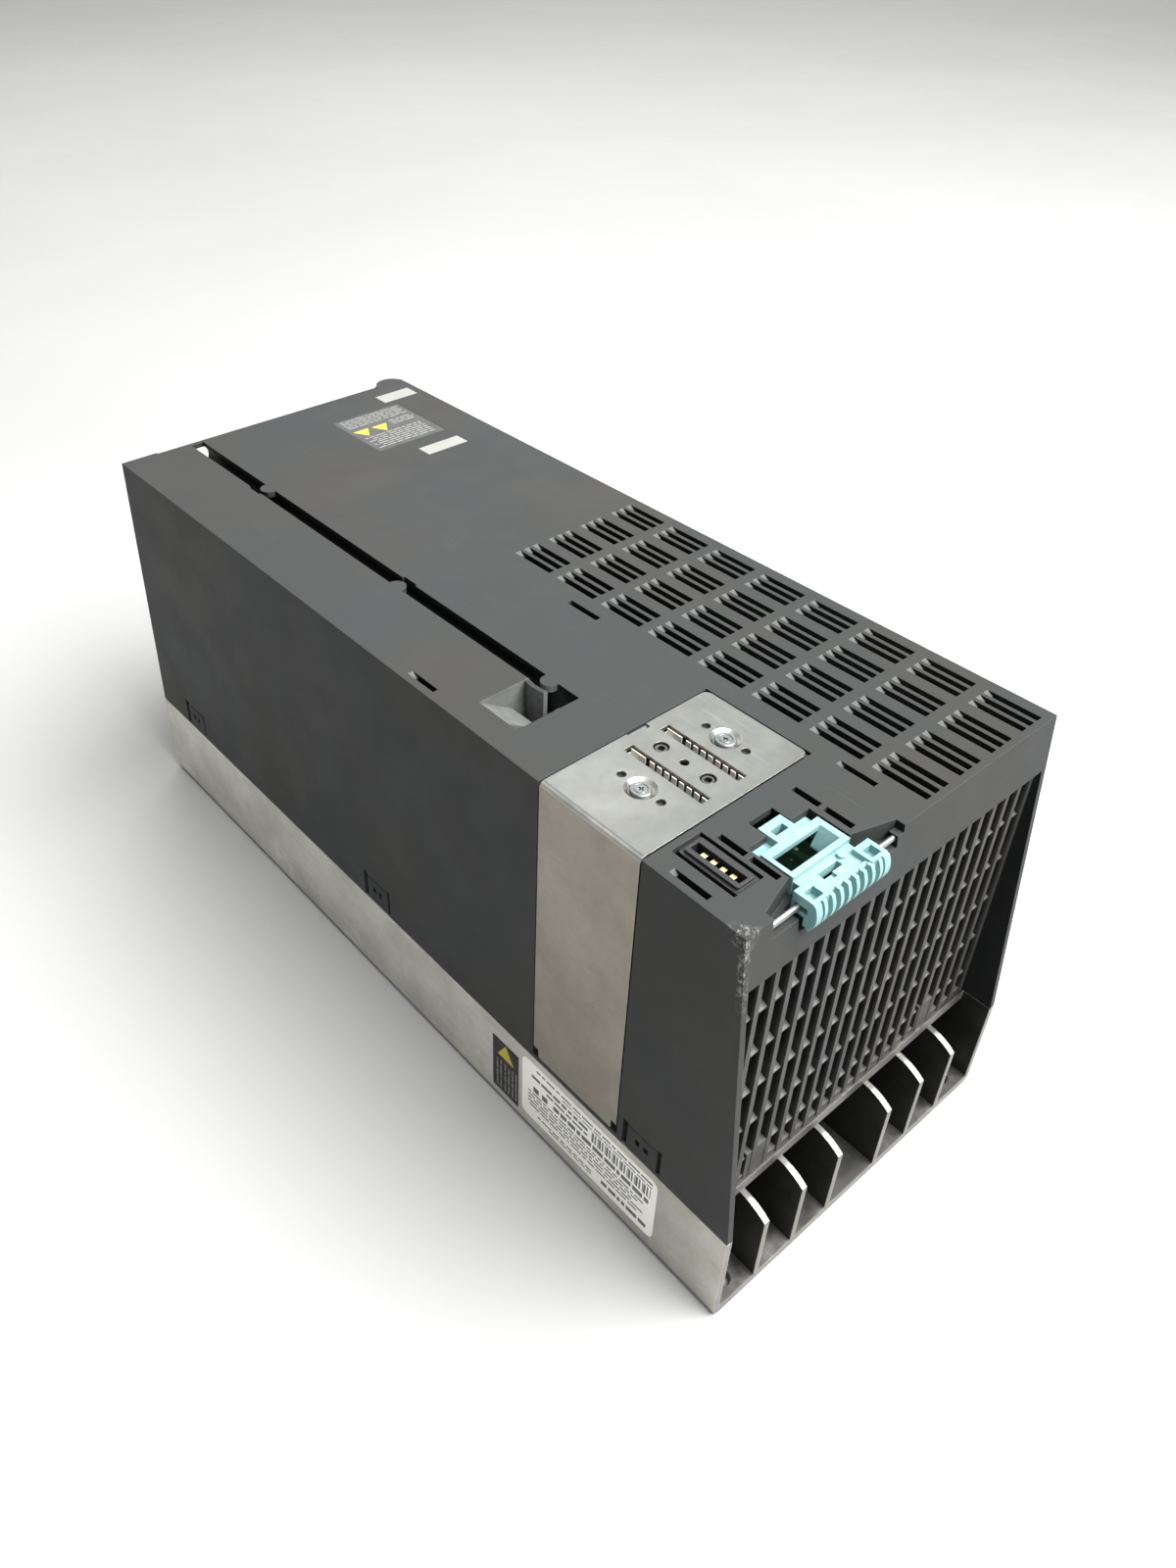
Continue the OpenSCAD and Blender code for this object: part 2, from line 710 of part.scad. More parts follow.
module release_latch() {
    half = latch_body_w / 2;
    grip = 15.2;                       // half the width of the grip
    block = 6.6;                       // width of a corner block
    body_near = -159.2;
    body_far = -148.2;
    bar_z = 160.8;                     // underside of the cross bar
    color("paleturquoise") difference() {
        union() {
            // Frame around the large window
            span([latch_x - half, body_near, latch_z], [latch_x + half, body_far, body_h]);
            // Cross bar that slides under the face
            span([latch_x - half, body_far - 0.1, bar_z], [latch_x + half, -143.6, 162.4]);
            // Rear tab
            span([latch_x - 4.5, body_far - 0.1, latch_z], [latch_x + 4.5, -141.1, body_h]);
            // Small post beside the angled recess
            pin_z(1.2, 162, 164.3, latch_x + 5.6, -161.2);
            // Lower plate
            span([latch_x - half + 0.4, -167.5, 160.2], [latch_x + half - 0.4, body_near + 0.1, 163.3]);
            // Corner blocks that ride on the wire
            for (side = [-1, 1])
                span([latch_x + side * (grip - block / 2) - block / 2, latch_front, latch_z],
                     [latch_x + side * (grip - block / 2) + block / 2, -162.2, body_h]);
            // Grip wall with its finger ribs
            span([latch_x - grip, latch_front + 0.9, latch_grip_z], [latch_x + grip, -166.6, 164.2]);
            for (i = [0 : grip_ribs - 1]) {
                x = latch_x - grip + i * (2 * grip - 1.3) / (grip_ribs - 1);
                along_x(x, x + 1.3) rib_outline();
            }
            for (x = [latch_x - grip, latch_x + grip - 2.4])
                along_x(x, x + 2.4) rib_outline();
        }
        difference() {
            span([latch_x - half + 1.4, -157.4, latch_z - 1], [latch_x + half - 2, -150.8, body_h + 1]);
            // Sloping end of the window
            along_y(-158, -150) polygon([
                [latch_x + half - 5.6, latch_z - 2], [latch_x + half - 5, latch_z + 0.6],
                [latch_x + half - 2, body_h], [latch_x + half, latch_z - 2]
            ]);
        }
        // Hollow under the window's far side, which leaves a plate and a thin wall
        span([latch_x - half + 1.4, -150.9, latch_z - 1], [latch_x + half - 2, body_far - 0.7, 163.2]);
        span([latch_x - half + 1.4, body_far - 0.8, latch_z - 1], [latch_x + half - 2, body_far, bar_z]);
        // Hole in the rear tab
        span([latch_x - 2.8, -146.1, latch_z - 1], [latch_x + 2.2, -143.8, body_h + 1]);
        // Square pockets in the corner blocks
        for (side = [-1, 1])
            span([latch_x + side * (grip - block / 2) - 1.9, -167.6, body_h - 2.6],
                 [latch_x + side * (grip - block / 2) + 1.9, -164.2, body_h + 1]);
        // Angled recess in the lower plate, cut through beside the wire
        span([latch_x - 4.4, -165, 162.3], [latch_x - 0.6, -161.4, 164]);
        span([latch_x - 4.4, -163.2, latch_z - 1], [latch_x + 3.6, -161.4, 164]);
        // Slot that the spring wire runs in
        span([latch_x - grip - 1, wire_y - wire_d / 2 - latch_travel - 0.1, wire_z - wire_d / 2 - 0.1],
             [latch_x + grip + 1, wire_y + wire_d / 2 + 0.1, wire_z + wire_d / 2 + 0.1]);
    }
}

module latch_wire() {
    color("gainsboro") pin_x(wire_d / 2, -60.8, -4.8, wire_y, wire_z);
}

// ---------------------------------------------------------------- interface connector

module interface_connector() {
    lo = [-59.5, -153.9];
    hi = [-50.6, -132.5];
    color([0.12, 0.12, 0.13]) difference() {
        union() {
            translate([0, 0, control_z + control_t]) linear_extrude(body_h - 1 - control_z - control_t)
                rounded(lo, hi, 1);
            translate([0, 0, body_h - 1.2]) linear_extrude(1.2)
                rounded(lo + [1, 1.2], hi - [0.9, 1.2], 0.8);
        }
        span([-56.9, -151.7, 156], [-53.6, -134.5, body_h + 1]);
    }
}

module interface_contacts() {
    color("gold") for (i = [0 : 3]) {
        y = -148.4 + i * 3.4;
        span([-56.5, y - 0.85, 156], [-54.2, y + 0.85, 163.8]);
    }
}

// ---------------------------------------------------------------- boards and their parts

module control_board() {
    color("darkgreen") difference() {
        span([-66.5, -157, control_z], [-5.5, -40, control_z + control_t]);
        for (p = boss_xy)
            pin_z(1.3 + gap, control_z - 1, control_z + 3, p[0], p[1]);
    }
}

module control_chips() {
    color([0.1, 0.1, 0.1]) {
        span([-44, -108, control_z - 2.2], [-26, -90, control_z]);
        span([-58, -74, control_z - 1.8], [-48, -60, control_z]);
        span([-24, -128, control_z - 1.8], [-16, -114, control_z]);
        for (y = [-70, -60, -50])
            span([-20, y, control_z - 3], [-12, y + 6, control_z]);
    }
}

module control_board_screws() {
    color("silver") for (p = boss_xy)
        mirror([0, 0, 1]) screw_down(p[0], p[1], -control_z, 1.2, 9, 2.6, 2);
}

// Flat cable between the boards
module ribbon_cable() {
    color("gray") along_y(-36, -12) polygon([
        [-30, board_top], [-28.8, board_top], [-28.8, 138.8], [-24, 144.8], [-24, control_z],
        [-25.2, control_z], [-25.2, 145.3], [-30, 139.3]
    ]);
}

module power_board() {
    color("darkgreen") difference() {
        span([-64, -158, board_z], [64, 160, board_top]);
        for (p = standoff_xy)
            pin_z(1.5 + gap, board_z - 1, board_top + 1, p[0], p[1]);
    }
}

module board_standoffs() {
    color("goldenrod") for (p = standoff_xy) difference() {
        union() {
            pin_z(2, sink_top_z, sink_h + 0.1, p[0], p[1]);
            translate([p[0], p[1], sink_h]) cylinder(r = 4, h = board_z - sink_h, $fn = 6);
        }
        pin_z(1.5 + gap, board_z - 10, board_z + 1, p[0], p[1]);
    }
}

module board_screws() {
    color("silver") for (p = standoff_xy)
        screw_down(p[0], p[1], board_top, 1.5, 9, 3, 2.4);
}

// Moulded power semiconductor block with a frame of pins up to the board
module semiconductor_block(lo, size, pins) {
    difference() {
        union() {
            translate([lo[0], lo[1], sink_h]) cube(size);
            for (i = [0 : pins - 1])
                for (y = [lo[1] + 6, lo[1] + size[1] - 6])
                    pin_z(0.6, sink_h + size[2] - 0.1, board_z, lo[0] + size[0] * (i + 2) / (pins + 3), y);
        }
        children();
    }
}

module power_module() {
    color("whitesmoke") semiconductor_block(module_lo, module_size, 10)
        for (p = module_screw_xy) {
            pin_z(2 + gap, sink_h - 1, sink_h + 20, p[0], p[1]);
            pin_z(4.6, sink_h + 8, sink_h + 20, p[0], p[1]);
        }
}

module rectifier_module() {
    color("whitesmoke") semiconductor_block(rectifier_lo, rectifier_size, 6)
        for (p = rectifier_screw_xy) {
            pin_z(2 + gap, sink_h - 1, sink_h + 20, p[0], p[1]);
            pin_z(4.6, sink_h + 8, sink_h + 20, p[0], p[1]);
        }
}

module module_screws() {
    color("silver") for (p = concat(module_screw_xy, rectifier_screw_xy))
        screw_down(p[0], p[1], sink_h + 8, 2, 12, 4, 3);
}

module dc_link_capacitors() {
    can_r = 17.5;
    can_h = 60;
    color("darkslategray") for (x = [12.5, 49])
        for (y = [-128, -91, -54]) difference() {
            pin_z(can_r, board_top, board_top + can_h, x, y);
            translate([x, y, board_top + can_h]) difference() {
                cylinder(r = can_r - 1.2, h = 1.2, center = true);
                cylinder(r = can_r - 3, h = 2, center = true);
            }
            translate([x, y, board_top + 4]) rotate_extrude() translate([can_r + 0.3, 0]) circle(r = 1.1);
        }
}

module choke_core() {
    color("olivedrab") translate(choke_at) difference() {
        cylinder(r = 22, h = 18);
        translate([0, 0, -1]) cylinder(r = 12, h = 20);
    }
}

// Three windings around the core, which also stand on the board
module choke_windings() {
    color("chocolate") translate(choke_at) for (a = [0, 120, 240])
        rotate([0, 0, a]) difference() {
            rotate_extrude(angle = 84) translate([9.6, -2]) square([14.8, 22]);
            rotate([0, 0, -2]) rotate_extrude(angle = 88) translate([11.9, -0.1]) square([10.2, 18.2]);
        }
}

module filter_capacitors() {
    color("gold") for (i = [0 : 2])
        span([-2 + i * 17, 84, board_top], [11 + i * 17, 116, board_top + 24]);
}

module precharge_relay() {
    color("black") span([14, 40, board_top], [44, 68, board_top + 26]);
}

module supply_transformer() {
    at = [-46, -70, board_top];
    color("sienna") translate(at) {
        difference() {
            cube([32, 12, 30]);
            for (x = [6, 20])
                translate([x, -1, 5]) cube([6, 14, 20]);
        }
        difference() {
            translate([4, -6, 6]) cube([24, 24, 18]);
            translate([11.9, -7, 5]) cube([8.2, 26, 20]);
            translate([-1, -0.1, 4]) cube([7.1, 12.2, 22]);
            translate([25.9, -0.1, 4]) cube([7.1, 12.2, 22]);
        }
    }
}

module current_sensors() {
    color("steelblue") for (x = sensor_x) difference() {
        span([x - 6.5, 119.5, board_top], [x + 6.5, 129, board_top + 24]);
        span([x - 4.2, 118, board_top + 11], [x + 4.2, 131, board_top + 16]);
    }
}

// Copper bars from the board through the sensors and back down
module motor_busbars() {
    color("peru") for (x = sensor_x)
        along_x(x - 3.5, x + 3.5) polygon([
            [117.2, board_top], [118.7, board_top], [118.7, board_top + 12.5], [129.8, board_top + 12.5],
            [129.8, board_top], [131.3, board_top], [131.3, board_top + 14], [117.2, board_top + 14]
        ]);
}

// ---------------------------------------------------------------- terminals

function block_half(block) = block[1] * pole_pitch / 2 + 1;
function pole_x(block, i) = block[0] + (i - (block[1] - 1) / 2) * pole_pitch;

module header(block) {
    half = block_half(block);
    difference() {
        span([block[0] - half - header_wall, header_y0, board_top],
             [block[0] + half + header_wall, header_y1, plug_z1 + 2.3]);
        span([block[0] - half - 0.2, header_y0 + header_back, plug_z0 - 0.3],
             [block[0] + half + 0.2, header_y1 + 1, plug_z1 + 0.3]);
        for (i = [0 : block[1] - 1])
            span([pole_x(block, i) - 2.5, header_y0 + 2, 89.4], [pole_x(block, i) + 2.5, header_y1, 90.6]);
    }
}

module header_pins() {
    color("silver") for (block = [line_block, motor_block, brake_block])
        for (i = [0 : block[1] - 1])
            span([pole_x(block, i) - 2.5, header_y0 + 2, 89.4],
                 [pole_x(block, i) + 2.5, header_y0 + header_back + 10, 90.6]);
}

module plug(block) {
    half = block_half(block);
    difference() {
        union() {
            span([block[0] - half, plug_y0, plug_z0], [block[0] + half, plug_y1, plug_z1]);
            // Rib along the underside that keys the plug
            span([block[0] - 3, 166.5, plug_z0 - 1.6], [block[0] + 3, plug_y1, plug_z0 + 0.1]);
        }
        for (i = [0 : block[1] - 1]) {
            x = pole_x(block, i);
            // Wire entry, cage seat, screw hole and the slit for the header's blade
            span([x - entry_w / 2, 160, wire_z0], [x + entry_w / 2, plug_y1 + 1, wire_z0 + entry_h]);
            span([x - 4.2, 164.8, wire_z0 - 1], [x + 4.2, 174.7, 92]);
            pin_z(3.2, 91, plug_z1 + 1, x, screw_y);
            span([x - 2.8, plug_y0 - 1, 89.1], [x + 2.8, 152, 90.9]);
        }
    }
}

// Cages that clamp the wires
module clamps(block) {
    for (i = [0 : block[1] - 1]) {
        x = pole_x(block, i);
        difference() {
            span([x - 4.1, 164.9, wire_z0 - 0.9], [x + 4.1, 174.6, 89]);
            span([x - 3.1, 164, wire_z0 + 0.1], [x + 3.1, 175.5, 86.5]);
            pin_z(1.75 + gap, 80, 92, x, screw_y);
        }
    }
}

module clamp_screws(block) {
    for (i = [0 : block[1] - 1])
        screw_down(pole_x(block, i), screw_y, 95.5, 1.75, 8.5, 2.9, 2.6);
}

module terminal_panel() {
    color("dimgray") difference() {
        span([-inner_x + 0.2, panel_y0, board_top + 0.4], [inner_x - 0.2, panel_y1, face_in - 0.2]);
        for (block = [line_block, motor_block, brake_block])
            span([block[0] - block_half(block) - 0.5, panel_y0 - 1, plug_z0 - 0.5],
                 [block[0] + block_half(block) + 0.5, panel_y1 + 1, plug_z1 + 0.5]);
        pin_y(channel_r + 1.5, panel_y0 - 1, panel_y1 + 1, channel_x, channel_z);
        // Air slots above the plugs
        for (i = [0 : 7])
            span([-58 + i * 15, panel_y0 - 1, 116], [-48 + i * 15, panel_y1 + 1, 120]);
        for (i = [0 : 7])
            span([-58 + i * 15, panel_y0 - 1, 126], [-48 + i * 15, panel_y1 + 1, 130]);
    }
}

module earth_screws() {
    color("silver") for (side = [-1, 1]) {
        screw_down(side * 22, mount_y / 2, 10.7, 2.1, 7.5, 4.4, 3);
        difference() {
            pin_z(5, 9.5, 10.7, side * 22, mount_y / 2);
            pin_z(2.1 + gap, 9, 11, side * 22, mount_y / 2);
        }
    }
}

// ---------------------------------------------------------------- fans

module fan_carrier() {
    color([0.16, 0.16, 0.17]) difference() {
        union() {
            span([-66.8, 137, sink_base], [66.8, fan_y0, 64.4]);
            for (side = [-1, 1])
                span([side * 64 - 2.8, 137, sink_base], [side * 64 + 2.8, 166, 50]);
        }
        for (x = fan_x) {
            pin_y(28, 136, 142, x, fan_z);
            for (dx = [-fan_hole, fan_hole])
                for (dz = [-fan_hole, fan_hole])
                    pin_y(2 + gap, 136, 142, x + dx, fan_z + dz);
        }
    }
}

module fan_housing(x) {
    half = fan_size / 2;
    difference() {
        span([x - half, fan_y0, fan_z - half], [x + half, fan_y1, fan_z + half]);
        pin_y(28, fan_y0 - 1, fan_y1 + 1, x, fan_z);
        for (dx = [-fan_hole, fan_hole])
            for (dz = [-fan_hole, fan_hole])
                pin_y(2 + gap, fan_y0 - 1, fan_y1 + 1, x + dx, fan_z + dz);
    }
    difference() {
        union() {
            pin_y(13, fan_y0, fan_y0 + 3, x, fan_z);
            pin_y(5.5, fan_y0, fan_y0 + 18, x, fan_z);
            for (a = [30, 150, 270])
                translate([x, fan_y0, fan_z]) rotate([0, a, 0])
                    translate([12, 0.2, -1.6]) cube([16.8, 2.6, 3.2]);
        }
        pin_y(bearing_r, fan_y0 + 1, fan_y0 + 19, x, fan_z);
    }
}

module fan_housings() {
    color([0.1, 0.1, 0.1]) for (x = fan_x) fan_housing(x);
}

module fan_stators() {
    color("peru") for (x = fan_x) difference() {
        pin_y(11.3, fan_y0 + 4.5, fan_y0 + 16, x, fan_z);
        pin_y(5.8, fan_y0 + 4, fan_y0 + 17, x, fan_z);
        for (a = [0 : 60 : 300])
            translate([x, fan_y0 + 4, fan_z]) rotate([0, a, 0]) translate([7.5, 0, -0.8]) cube([5, 13, 1.6]);
    }
}

module fan_bearings() {
    color("gainsboro") for (x = fan_x)
        for (y = [fan_y0 + 2, fan_y0 + 13.5]) difference() {
            pin_y(bearing_r, y, y + 4, x, fan_z);
            pin_y(shaft_r + gap, y - 1, y + 5, x, fan_z);
        }
}

// Cup with its shaft and tilted blades
module fan_rotor(x) {
    cup_y = fan_y0 + 4;
    end_y = fan_y1 - 1.5;
    difference() {
        pin_y(cup_r, cup_y, end_y, x, fan_z);
        pin_y(cup_r - 1.6, cup_y - 1, end_y - 1.8, x, fan_z);
    }
    pin_y(shaft_r, fan_y0 + 1.5, end_y - 1, x, fan_z);
    for (i = [0 : blade_count - 1])
        intersection() {
            translate([x, (cup_y + end_y) / 2, fan_z]) rotate([0, i * 360 / blade_count, 0])
                translate([cup_r - 0.4, 0, 0]) rotate([40, 0, 0])
                    translate([0, -15, -0.6]) cube([rotor_r, 30, 1.2]);
            difference() {
                pin_y(rotor_r, cup_y, end_y, x, fan_z);
                pin_y(cup_r - 0.4, cup_y - 1, end_y + 1, x, fan_z);
            }
        }
}

module fan_guards() {
    y = fan_y1 + 0.8;
    color("silver") for (x = fan_x) {
        for (r = [7, 14, 21, 27.5])
            ring_y(r, 0.7, x, y, fan_z);
        for (a = [45 : 90 : 315])
            translate([x, y, fan_z]) rotate([0, a, 0]) translate([6.6, 0, 0])
                rotate([0, 90, 0]) cylinder(r = 0.8, h = 26, $fn = 16);
        for (dx = [-fan_hole, fan_hole])
            for (dz = [-fan_hole, fan_hole])
                ring_y(2.9, 0.7, x + dx, y, fan_z + dz);
    }
}

module fan_screws() {
    head_y = fan_y1 + 1.6;
    color("silver") for (x = fan_x)
        for (dx = [-fan_hole, fan_hole])
            for (dz = [-fan_hole, fan_hole])
                translate([x + dx, head_y, fan_z + dz]) rotate([-90, 0, 0])
                    screw_down(0, 0, 0, 2, 29, 3.4, 2);
}

// ---------------------------------------------------------------- labels

module rating_label() {
    color("white") along_x(-half_w + label_in, -half_w + label_in + label_t)
        rounded([-149.2, 7.1], [-83.6, 38.4], 3);
}

module warning_label() {
    color([0.1, 0.1, 0.1])
        span([-half_w + label_in, -81.6, 5.1], [-half_w + label_in + label_t, -67.3, 33.9]);
}

module instruction_label() {
    color("lightgray") span([18.1, 113.6, label_z], [52.3, 148.9, label_z + label_t]);
}

module stickers() {
    color("ivory") {
        span([48.7, 153.1, label_z], [66.5, 161.1, label_z + label_t]);
        span([32.1, 98.1, label_z], [52.4, 105.5, label_z + label_t]);
    }
}

// ---------------------------------------------------------------- assembly

heat_sink();
hood();
outlet_grille();
shield_plate();
shield_screws();
contact_carrier();
contact_springs();
carrier_screws();
release_latch();
latch_wire();
interface_connector();
interface_contacts();
control_board();
control_chips();
control_board_screws();
ribbon_cable();
power_board();
board_standoffs();
board_screws();
power_module();
rectifier_module();
module_screws();
dc_link_capacitors();
choke_core();
choke_windings();
filter_capacitors();
precharge_relay();
supply_transformer();
current_sensors();
motor_busbars();
color("seagreen") header(line_block);  // line_header
color("seagreen") header(motor_block);  // motor_header
color("seagreen") header(brake_block);  // brake_header
header_pins();
color("black") plug(line_block);  // line_plug
color("black") plug(motor_block);  // motor_plug
color("black") plug(brake_block);  // brake_plug
color("silver") clamps(line_block);  // line_clamps
color("silver") clamps(motor_block);  // motor_clamps
color("silver") clamps(brake_block);  // brake_clamps
color("silver") clamp_screws(line_block);  // line_clamp_screws
color("silver") clamp_screws(motor_block);  // motor_clamp_screws
color("silver") clamp_screws(brake_block);  // brake_clamp_screws
terminal_panel();
fan_carrier();
fan_housings();
fan_stators();
fan_bearings();
color("black") fan_rotor(fan_x[0]);  // left_fan_rotor
color("black") fan_rotor(fan_x[1]);  // right_fan_rotor
fan_guards();
fan_screws();
earth_screws();
rating_label();
warning_label();
instruction_label();
stickers();
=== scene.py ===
import math

import bmesh
import bpy
from mathutils import Matrix, Vector


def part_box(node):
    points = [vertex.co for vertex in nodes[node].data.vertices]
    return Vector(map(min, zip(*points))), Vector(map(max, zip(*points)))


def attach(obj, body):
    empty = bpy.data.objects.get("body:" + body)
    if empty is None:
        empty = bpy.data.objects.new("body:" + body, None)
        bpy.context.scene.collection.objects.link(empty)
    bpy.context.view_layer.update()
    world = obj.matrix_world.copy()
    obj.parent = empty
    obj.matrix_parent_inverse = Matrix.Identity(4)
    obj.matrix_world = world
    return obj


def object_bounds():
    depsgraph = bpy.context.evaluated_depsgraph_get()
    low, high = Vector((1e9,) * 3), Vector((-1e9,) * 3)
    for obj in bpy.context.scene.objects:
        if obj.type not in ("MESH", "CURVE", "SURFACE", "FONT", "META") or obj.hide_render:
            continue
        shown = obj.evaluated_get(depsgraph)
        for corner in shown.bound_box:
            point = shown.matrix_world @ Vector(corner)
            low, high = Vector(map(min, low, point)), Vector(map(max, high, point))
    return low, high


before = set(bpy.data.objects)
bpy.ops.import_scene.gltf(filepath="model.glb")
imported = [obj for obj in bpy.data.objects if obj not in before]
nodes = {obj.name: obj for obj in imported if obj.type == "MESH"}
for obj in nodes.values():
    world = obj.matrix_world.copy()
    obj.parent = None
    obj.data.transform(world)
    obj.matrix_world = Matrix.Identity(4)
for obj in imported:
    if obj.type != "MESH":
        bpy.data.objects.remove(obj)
cad_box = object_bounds()
scene = bpy.context.scene
scene.view_settings.view_transform = "Standard"
MM = 0.001
X, Y, Z = range(3)

# Pitch in millimetres of the wave texture at scale 1
WAVE_PITCH = 0.314

# Half the drive's width and the place of its latch end
HALF_WIDTH = cad_box[1][X] / MM
LATCH_END = cad_box[0][Y] / MM
# How far from the middle the heat sink's side walls begin
SINK_WALL = HALF_WIDTH - 1.0
# Corner of the hood beside the latch, and how far the end leans outwards per millimetre down
CORNER = (-HALF_WIDTH, -165.5, 164.8)
EDGE_LEAN = 0.0976
# Front plane of the grille
GRILLE_FRONT = -165.8
# Middle of the pocket at the end of the cable channel, and the height of its floor
POCKET = (-50.0, -58.0, 158.0)
POCKET_FLOOR = 151.5
# Where the ribbon cable's coloured edge begins
CABLE_EDGE = -13.0

# Colours of the dark plastics, of their worn places and of painted highlights on them
ANTHRACITE = (0.037, 0.0405, 0.040)
PALE = (0.14, 0.145, 0.14)
POCKET_HIGHLIGHT = (0.15, 0.155, 0.15)
SCRAPED = (0.40, 0.40, 0.385)
WORN_BLACK = (0.2, 0.2, 0.2)


# ------------------------------------------------------------------ node materials

class Surface:
    """A procedural material. Its textures are placed in the row frame, in millimetres."""

    def __init__(self, name, metallic=0.0, specular=0.5):
        self.material = bpy.data.materials.new(name)
        self.material.use_nodes = True
        self.tree = self.material.node_tree
        self.tree.nodes.clear()
        output = self.add("ShaderNodeOutputMaterial")
        self.shader = self.add("ShaderNodeBsdfPrincipled")
        self.shader.inputs["Metallic"].default_value = metallic
        self.shader.inputs["Specular IOR Level"].default_value = specular
        self.link(self.shader.outputs["BSDF"], output.inputs["Surface"])
        place = self.add("ShaderNodeTexCoord")
        to_mm = self.add("ShaderNodeVectorMath", operation="SCALE")
        to_mm.inputs["Scale"].default_value = 1 / MM
        self.link(place.outputs["Object"], to_mm.inputs[0])
        self.place = to_mm.outputs[0]
        self.geometry = self.add("ShaderNodeNewGeometry")
        self.normal = None

    def add(self, kind, **settings):
        node = self.tree.nodes.new(kind)
        for key, value in settings.items():
            setattr(node, key, value)
        return node

    def link(self, a, b):
        self.tree.links.new(a, b)

    def feed(self, value, socket):
        """Sets a socket from a number, a colour or another socket."""
        if isinstance(value, bpy.types.NodeSocket):
            self.link(value, socket)
        elif isinstance(value, (tuple, list)) and len(value) == 3 and socket.type == "RGBA":
            socket.default_value = (*value, 1.0)
        else:
            socket.default_value = value

    def math(self, operation, a, b=0.0):
        node = self.add("ShaderNodeMath", operation=operation)
        self.feed(a, node.inputs[0])
        self.feed(b, node.inputs[1])
        return node.outputs[0]

    def times(self, first, *others):
        for other in others:
            first = self.math("MULTIPLY", first, other)
        return first

    def larger(self, a, b):
        return self.math("MAXIMUM", a, b)

    def absolute(self, value):
        return self.math("ABSOLUTE", value)

    def mapped(self, stretch, turn=(0, 0, 0), shift=(0, 0, 0)):
        node = self.add("ShaderNodeMapping")
        node.inputs["Scale"].default_value = stretch
        node.inputs["Rotation"].default_value = [math.radians(t) for t in turn]
        node.inputs["Location"].default_value = shift
        self.link(self.place, node.inputs["Vector"])
        return node.outputs[0]

    def noise(self, size, detail=3.0, rough=0.55, stretch=(1, 1, 1), turn=(0, 0, 0), shift=(0, 0, 0)):
        """Noise whose features are about `size` millimetres across."""
        node = self.add("ShaderNodeTexNoise")
        node.inputs["Scale"].default_value = 1.0
        node.inputs["Detail"].default_value = detail
        node.inputs["Roughness"].default_value = rough
        self.link(self.mapped([s / size for s in stretch], turn, shift), node.inputs["Vector"])
        return node.outputs["Fac"]

    def cells(self, size):
        """Distance to the nearest of scattered points, which lie about `size` millimetres apart."""
        node = self.add("ShaderNodeTexVoronoi")
        node.inputs["Scale"].default_value = 1.0
        self.link(self.mapped([1 / size] * 3), node.inputs["Vector"])
        return node.outputs["Distance"]

    def wave(self, pitch, axis, distortion=0.0):
        """Bands along an axis, `pitch` millimetres apart."""
        node = self.add("ShaderNodeTexWave", bands_direction=axis)
        node.inputs["Scale"].default_value = WAVE_PITCH / pitch
        node.inputs["Distortion"].default_value = distortion
        node.inputs["Detail"].default_value = 1.0
        self.link(self.place, node.inputs["Vector"])
        return node.outputs["Fac"]

    def between(self, value, low, high, out_low=0.0, out_high=1.0):
        """Goes smoothly from out_low to out_high as the value goes from low to high."""
        node = self.add("ShaderNodeMapRange", interpolation_type="SMOOTHSTEP")
        self.feed(value, node.inputs["Value"])
        node.inputs["From Min"].default_value = low
        node.inputs["From Max"].default_value = high
        node.inputs["To Min"].default_value = out_low
        node.inputs["To Max"].default_value = out_high
        return node.outputs["Result"]

    def mix(self, a, b, *masks):
        """Goes from colour a to colour b by the product of the masks."""
        node = self.add("ShaderNodeMix", data_type="RGBA")
        self.feed(self.times(*masks), node.inputs["Factor"])
        self.feed(a, node.inputs[6])
        self.feed(b, node.inputs[7])
        return node.outputs[2]

    def axis(self, which):
        """Place along X, Y or Z in millimetres."""
        node = self.add("ShaderNodeSeparateXYZ")
        self.link(self.place, node.inputs[0])
        return node.outputs[which]

    def facing(self, which):
        """How much the surface faces along X, Y or Z, -1 to 1."""
        node = self.add("ShaderNodeSeparateXYZ")
        self.link(self.geometry.outputs["Normal"], node.inputs[0])
        return node.outputs[which]

    def near_point(self, point, far, close):
        """1 within `close` millimetres of a point, falling to 0 at `far`."""
        node = self.add("ShaderNodeVectorMath", operation="DISTANCE")
        self.link(self.place, node.inputs[0])
        node.inputs[1].default_value = point
        return self.between(node.outputs["Value"], far, close)

    def near_corner_edge(self, far, close):
        """1 close to the leaning edge between the hood's left side and its latch end."""
        below = self.math("SUBTRACT", CORNER[Z], self.axis(Z))
        upright = self.math("ADD", self.axis(Y), self.times(below, EDGE_LEAN))
        across = self.absolute(self.math("SUBTRACT", self.axis(X), CORNER[X]))
        along = self.absolute(self.math("SUBTRACT", upright, CORNER[Y]))
        return self.between(self.math("ADD", across, along), far, close)

    def inward_of(self, wall, blend=0.6):
        """1 between the side walls, falling to 0 over the last `blend` millimetres before `wall`."""
        return self.between(self.absolute(self.axis(X)), wall, wall - blend)

    def rounded_edges(self, radius):
        """Rounds every edge in the shading and returns how close a point is to one, 0 to 1."""
        bevel = self.add("ShaderNodeBevel", samples=4)
        bevel.inputs["Radius"].default_value = radius * MM
        self.normal = bevel.outputs["Normal"]
        dot = self.add("ShaderNodeVectorMath", operation="DOT_PRODUCT")
        self.link(bevel.outputs["Normal"], dot.inputs[0])
        self.link(self.geometry.outputs["Normal"], dot.inputs[1])
        return self.between(dot.outputs["Value"], 0.985, 0.75)

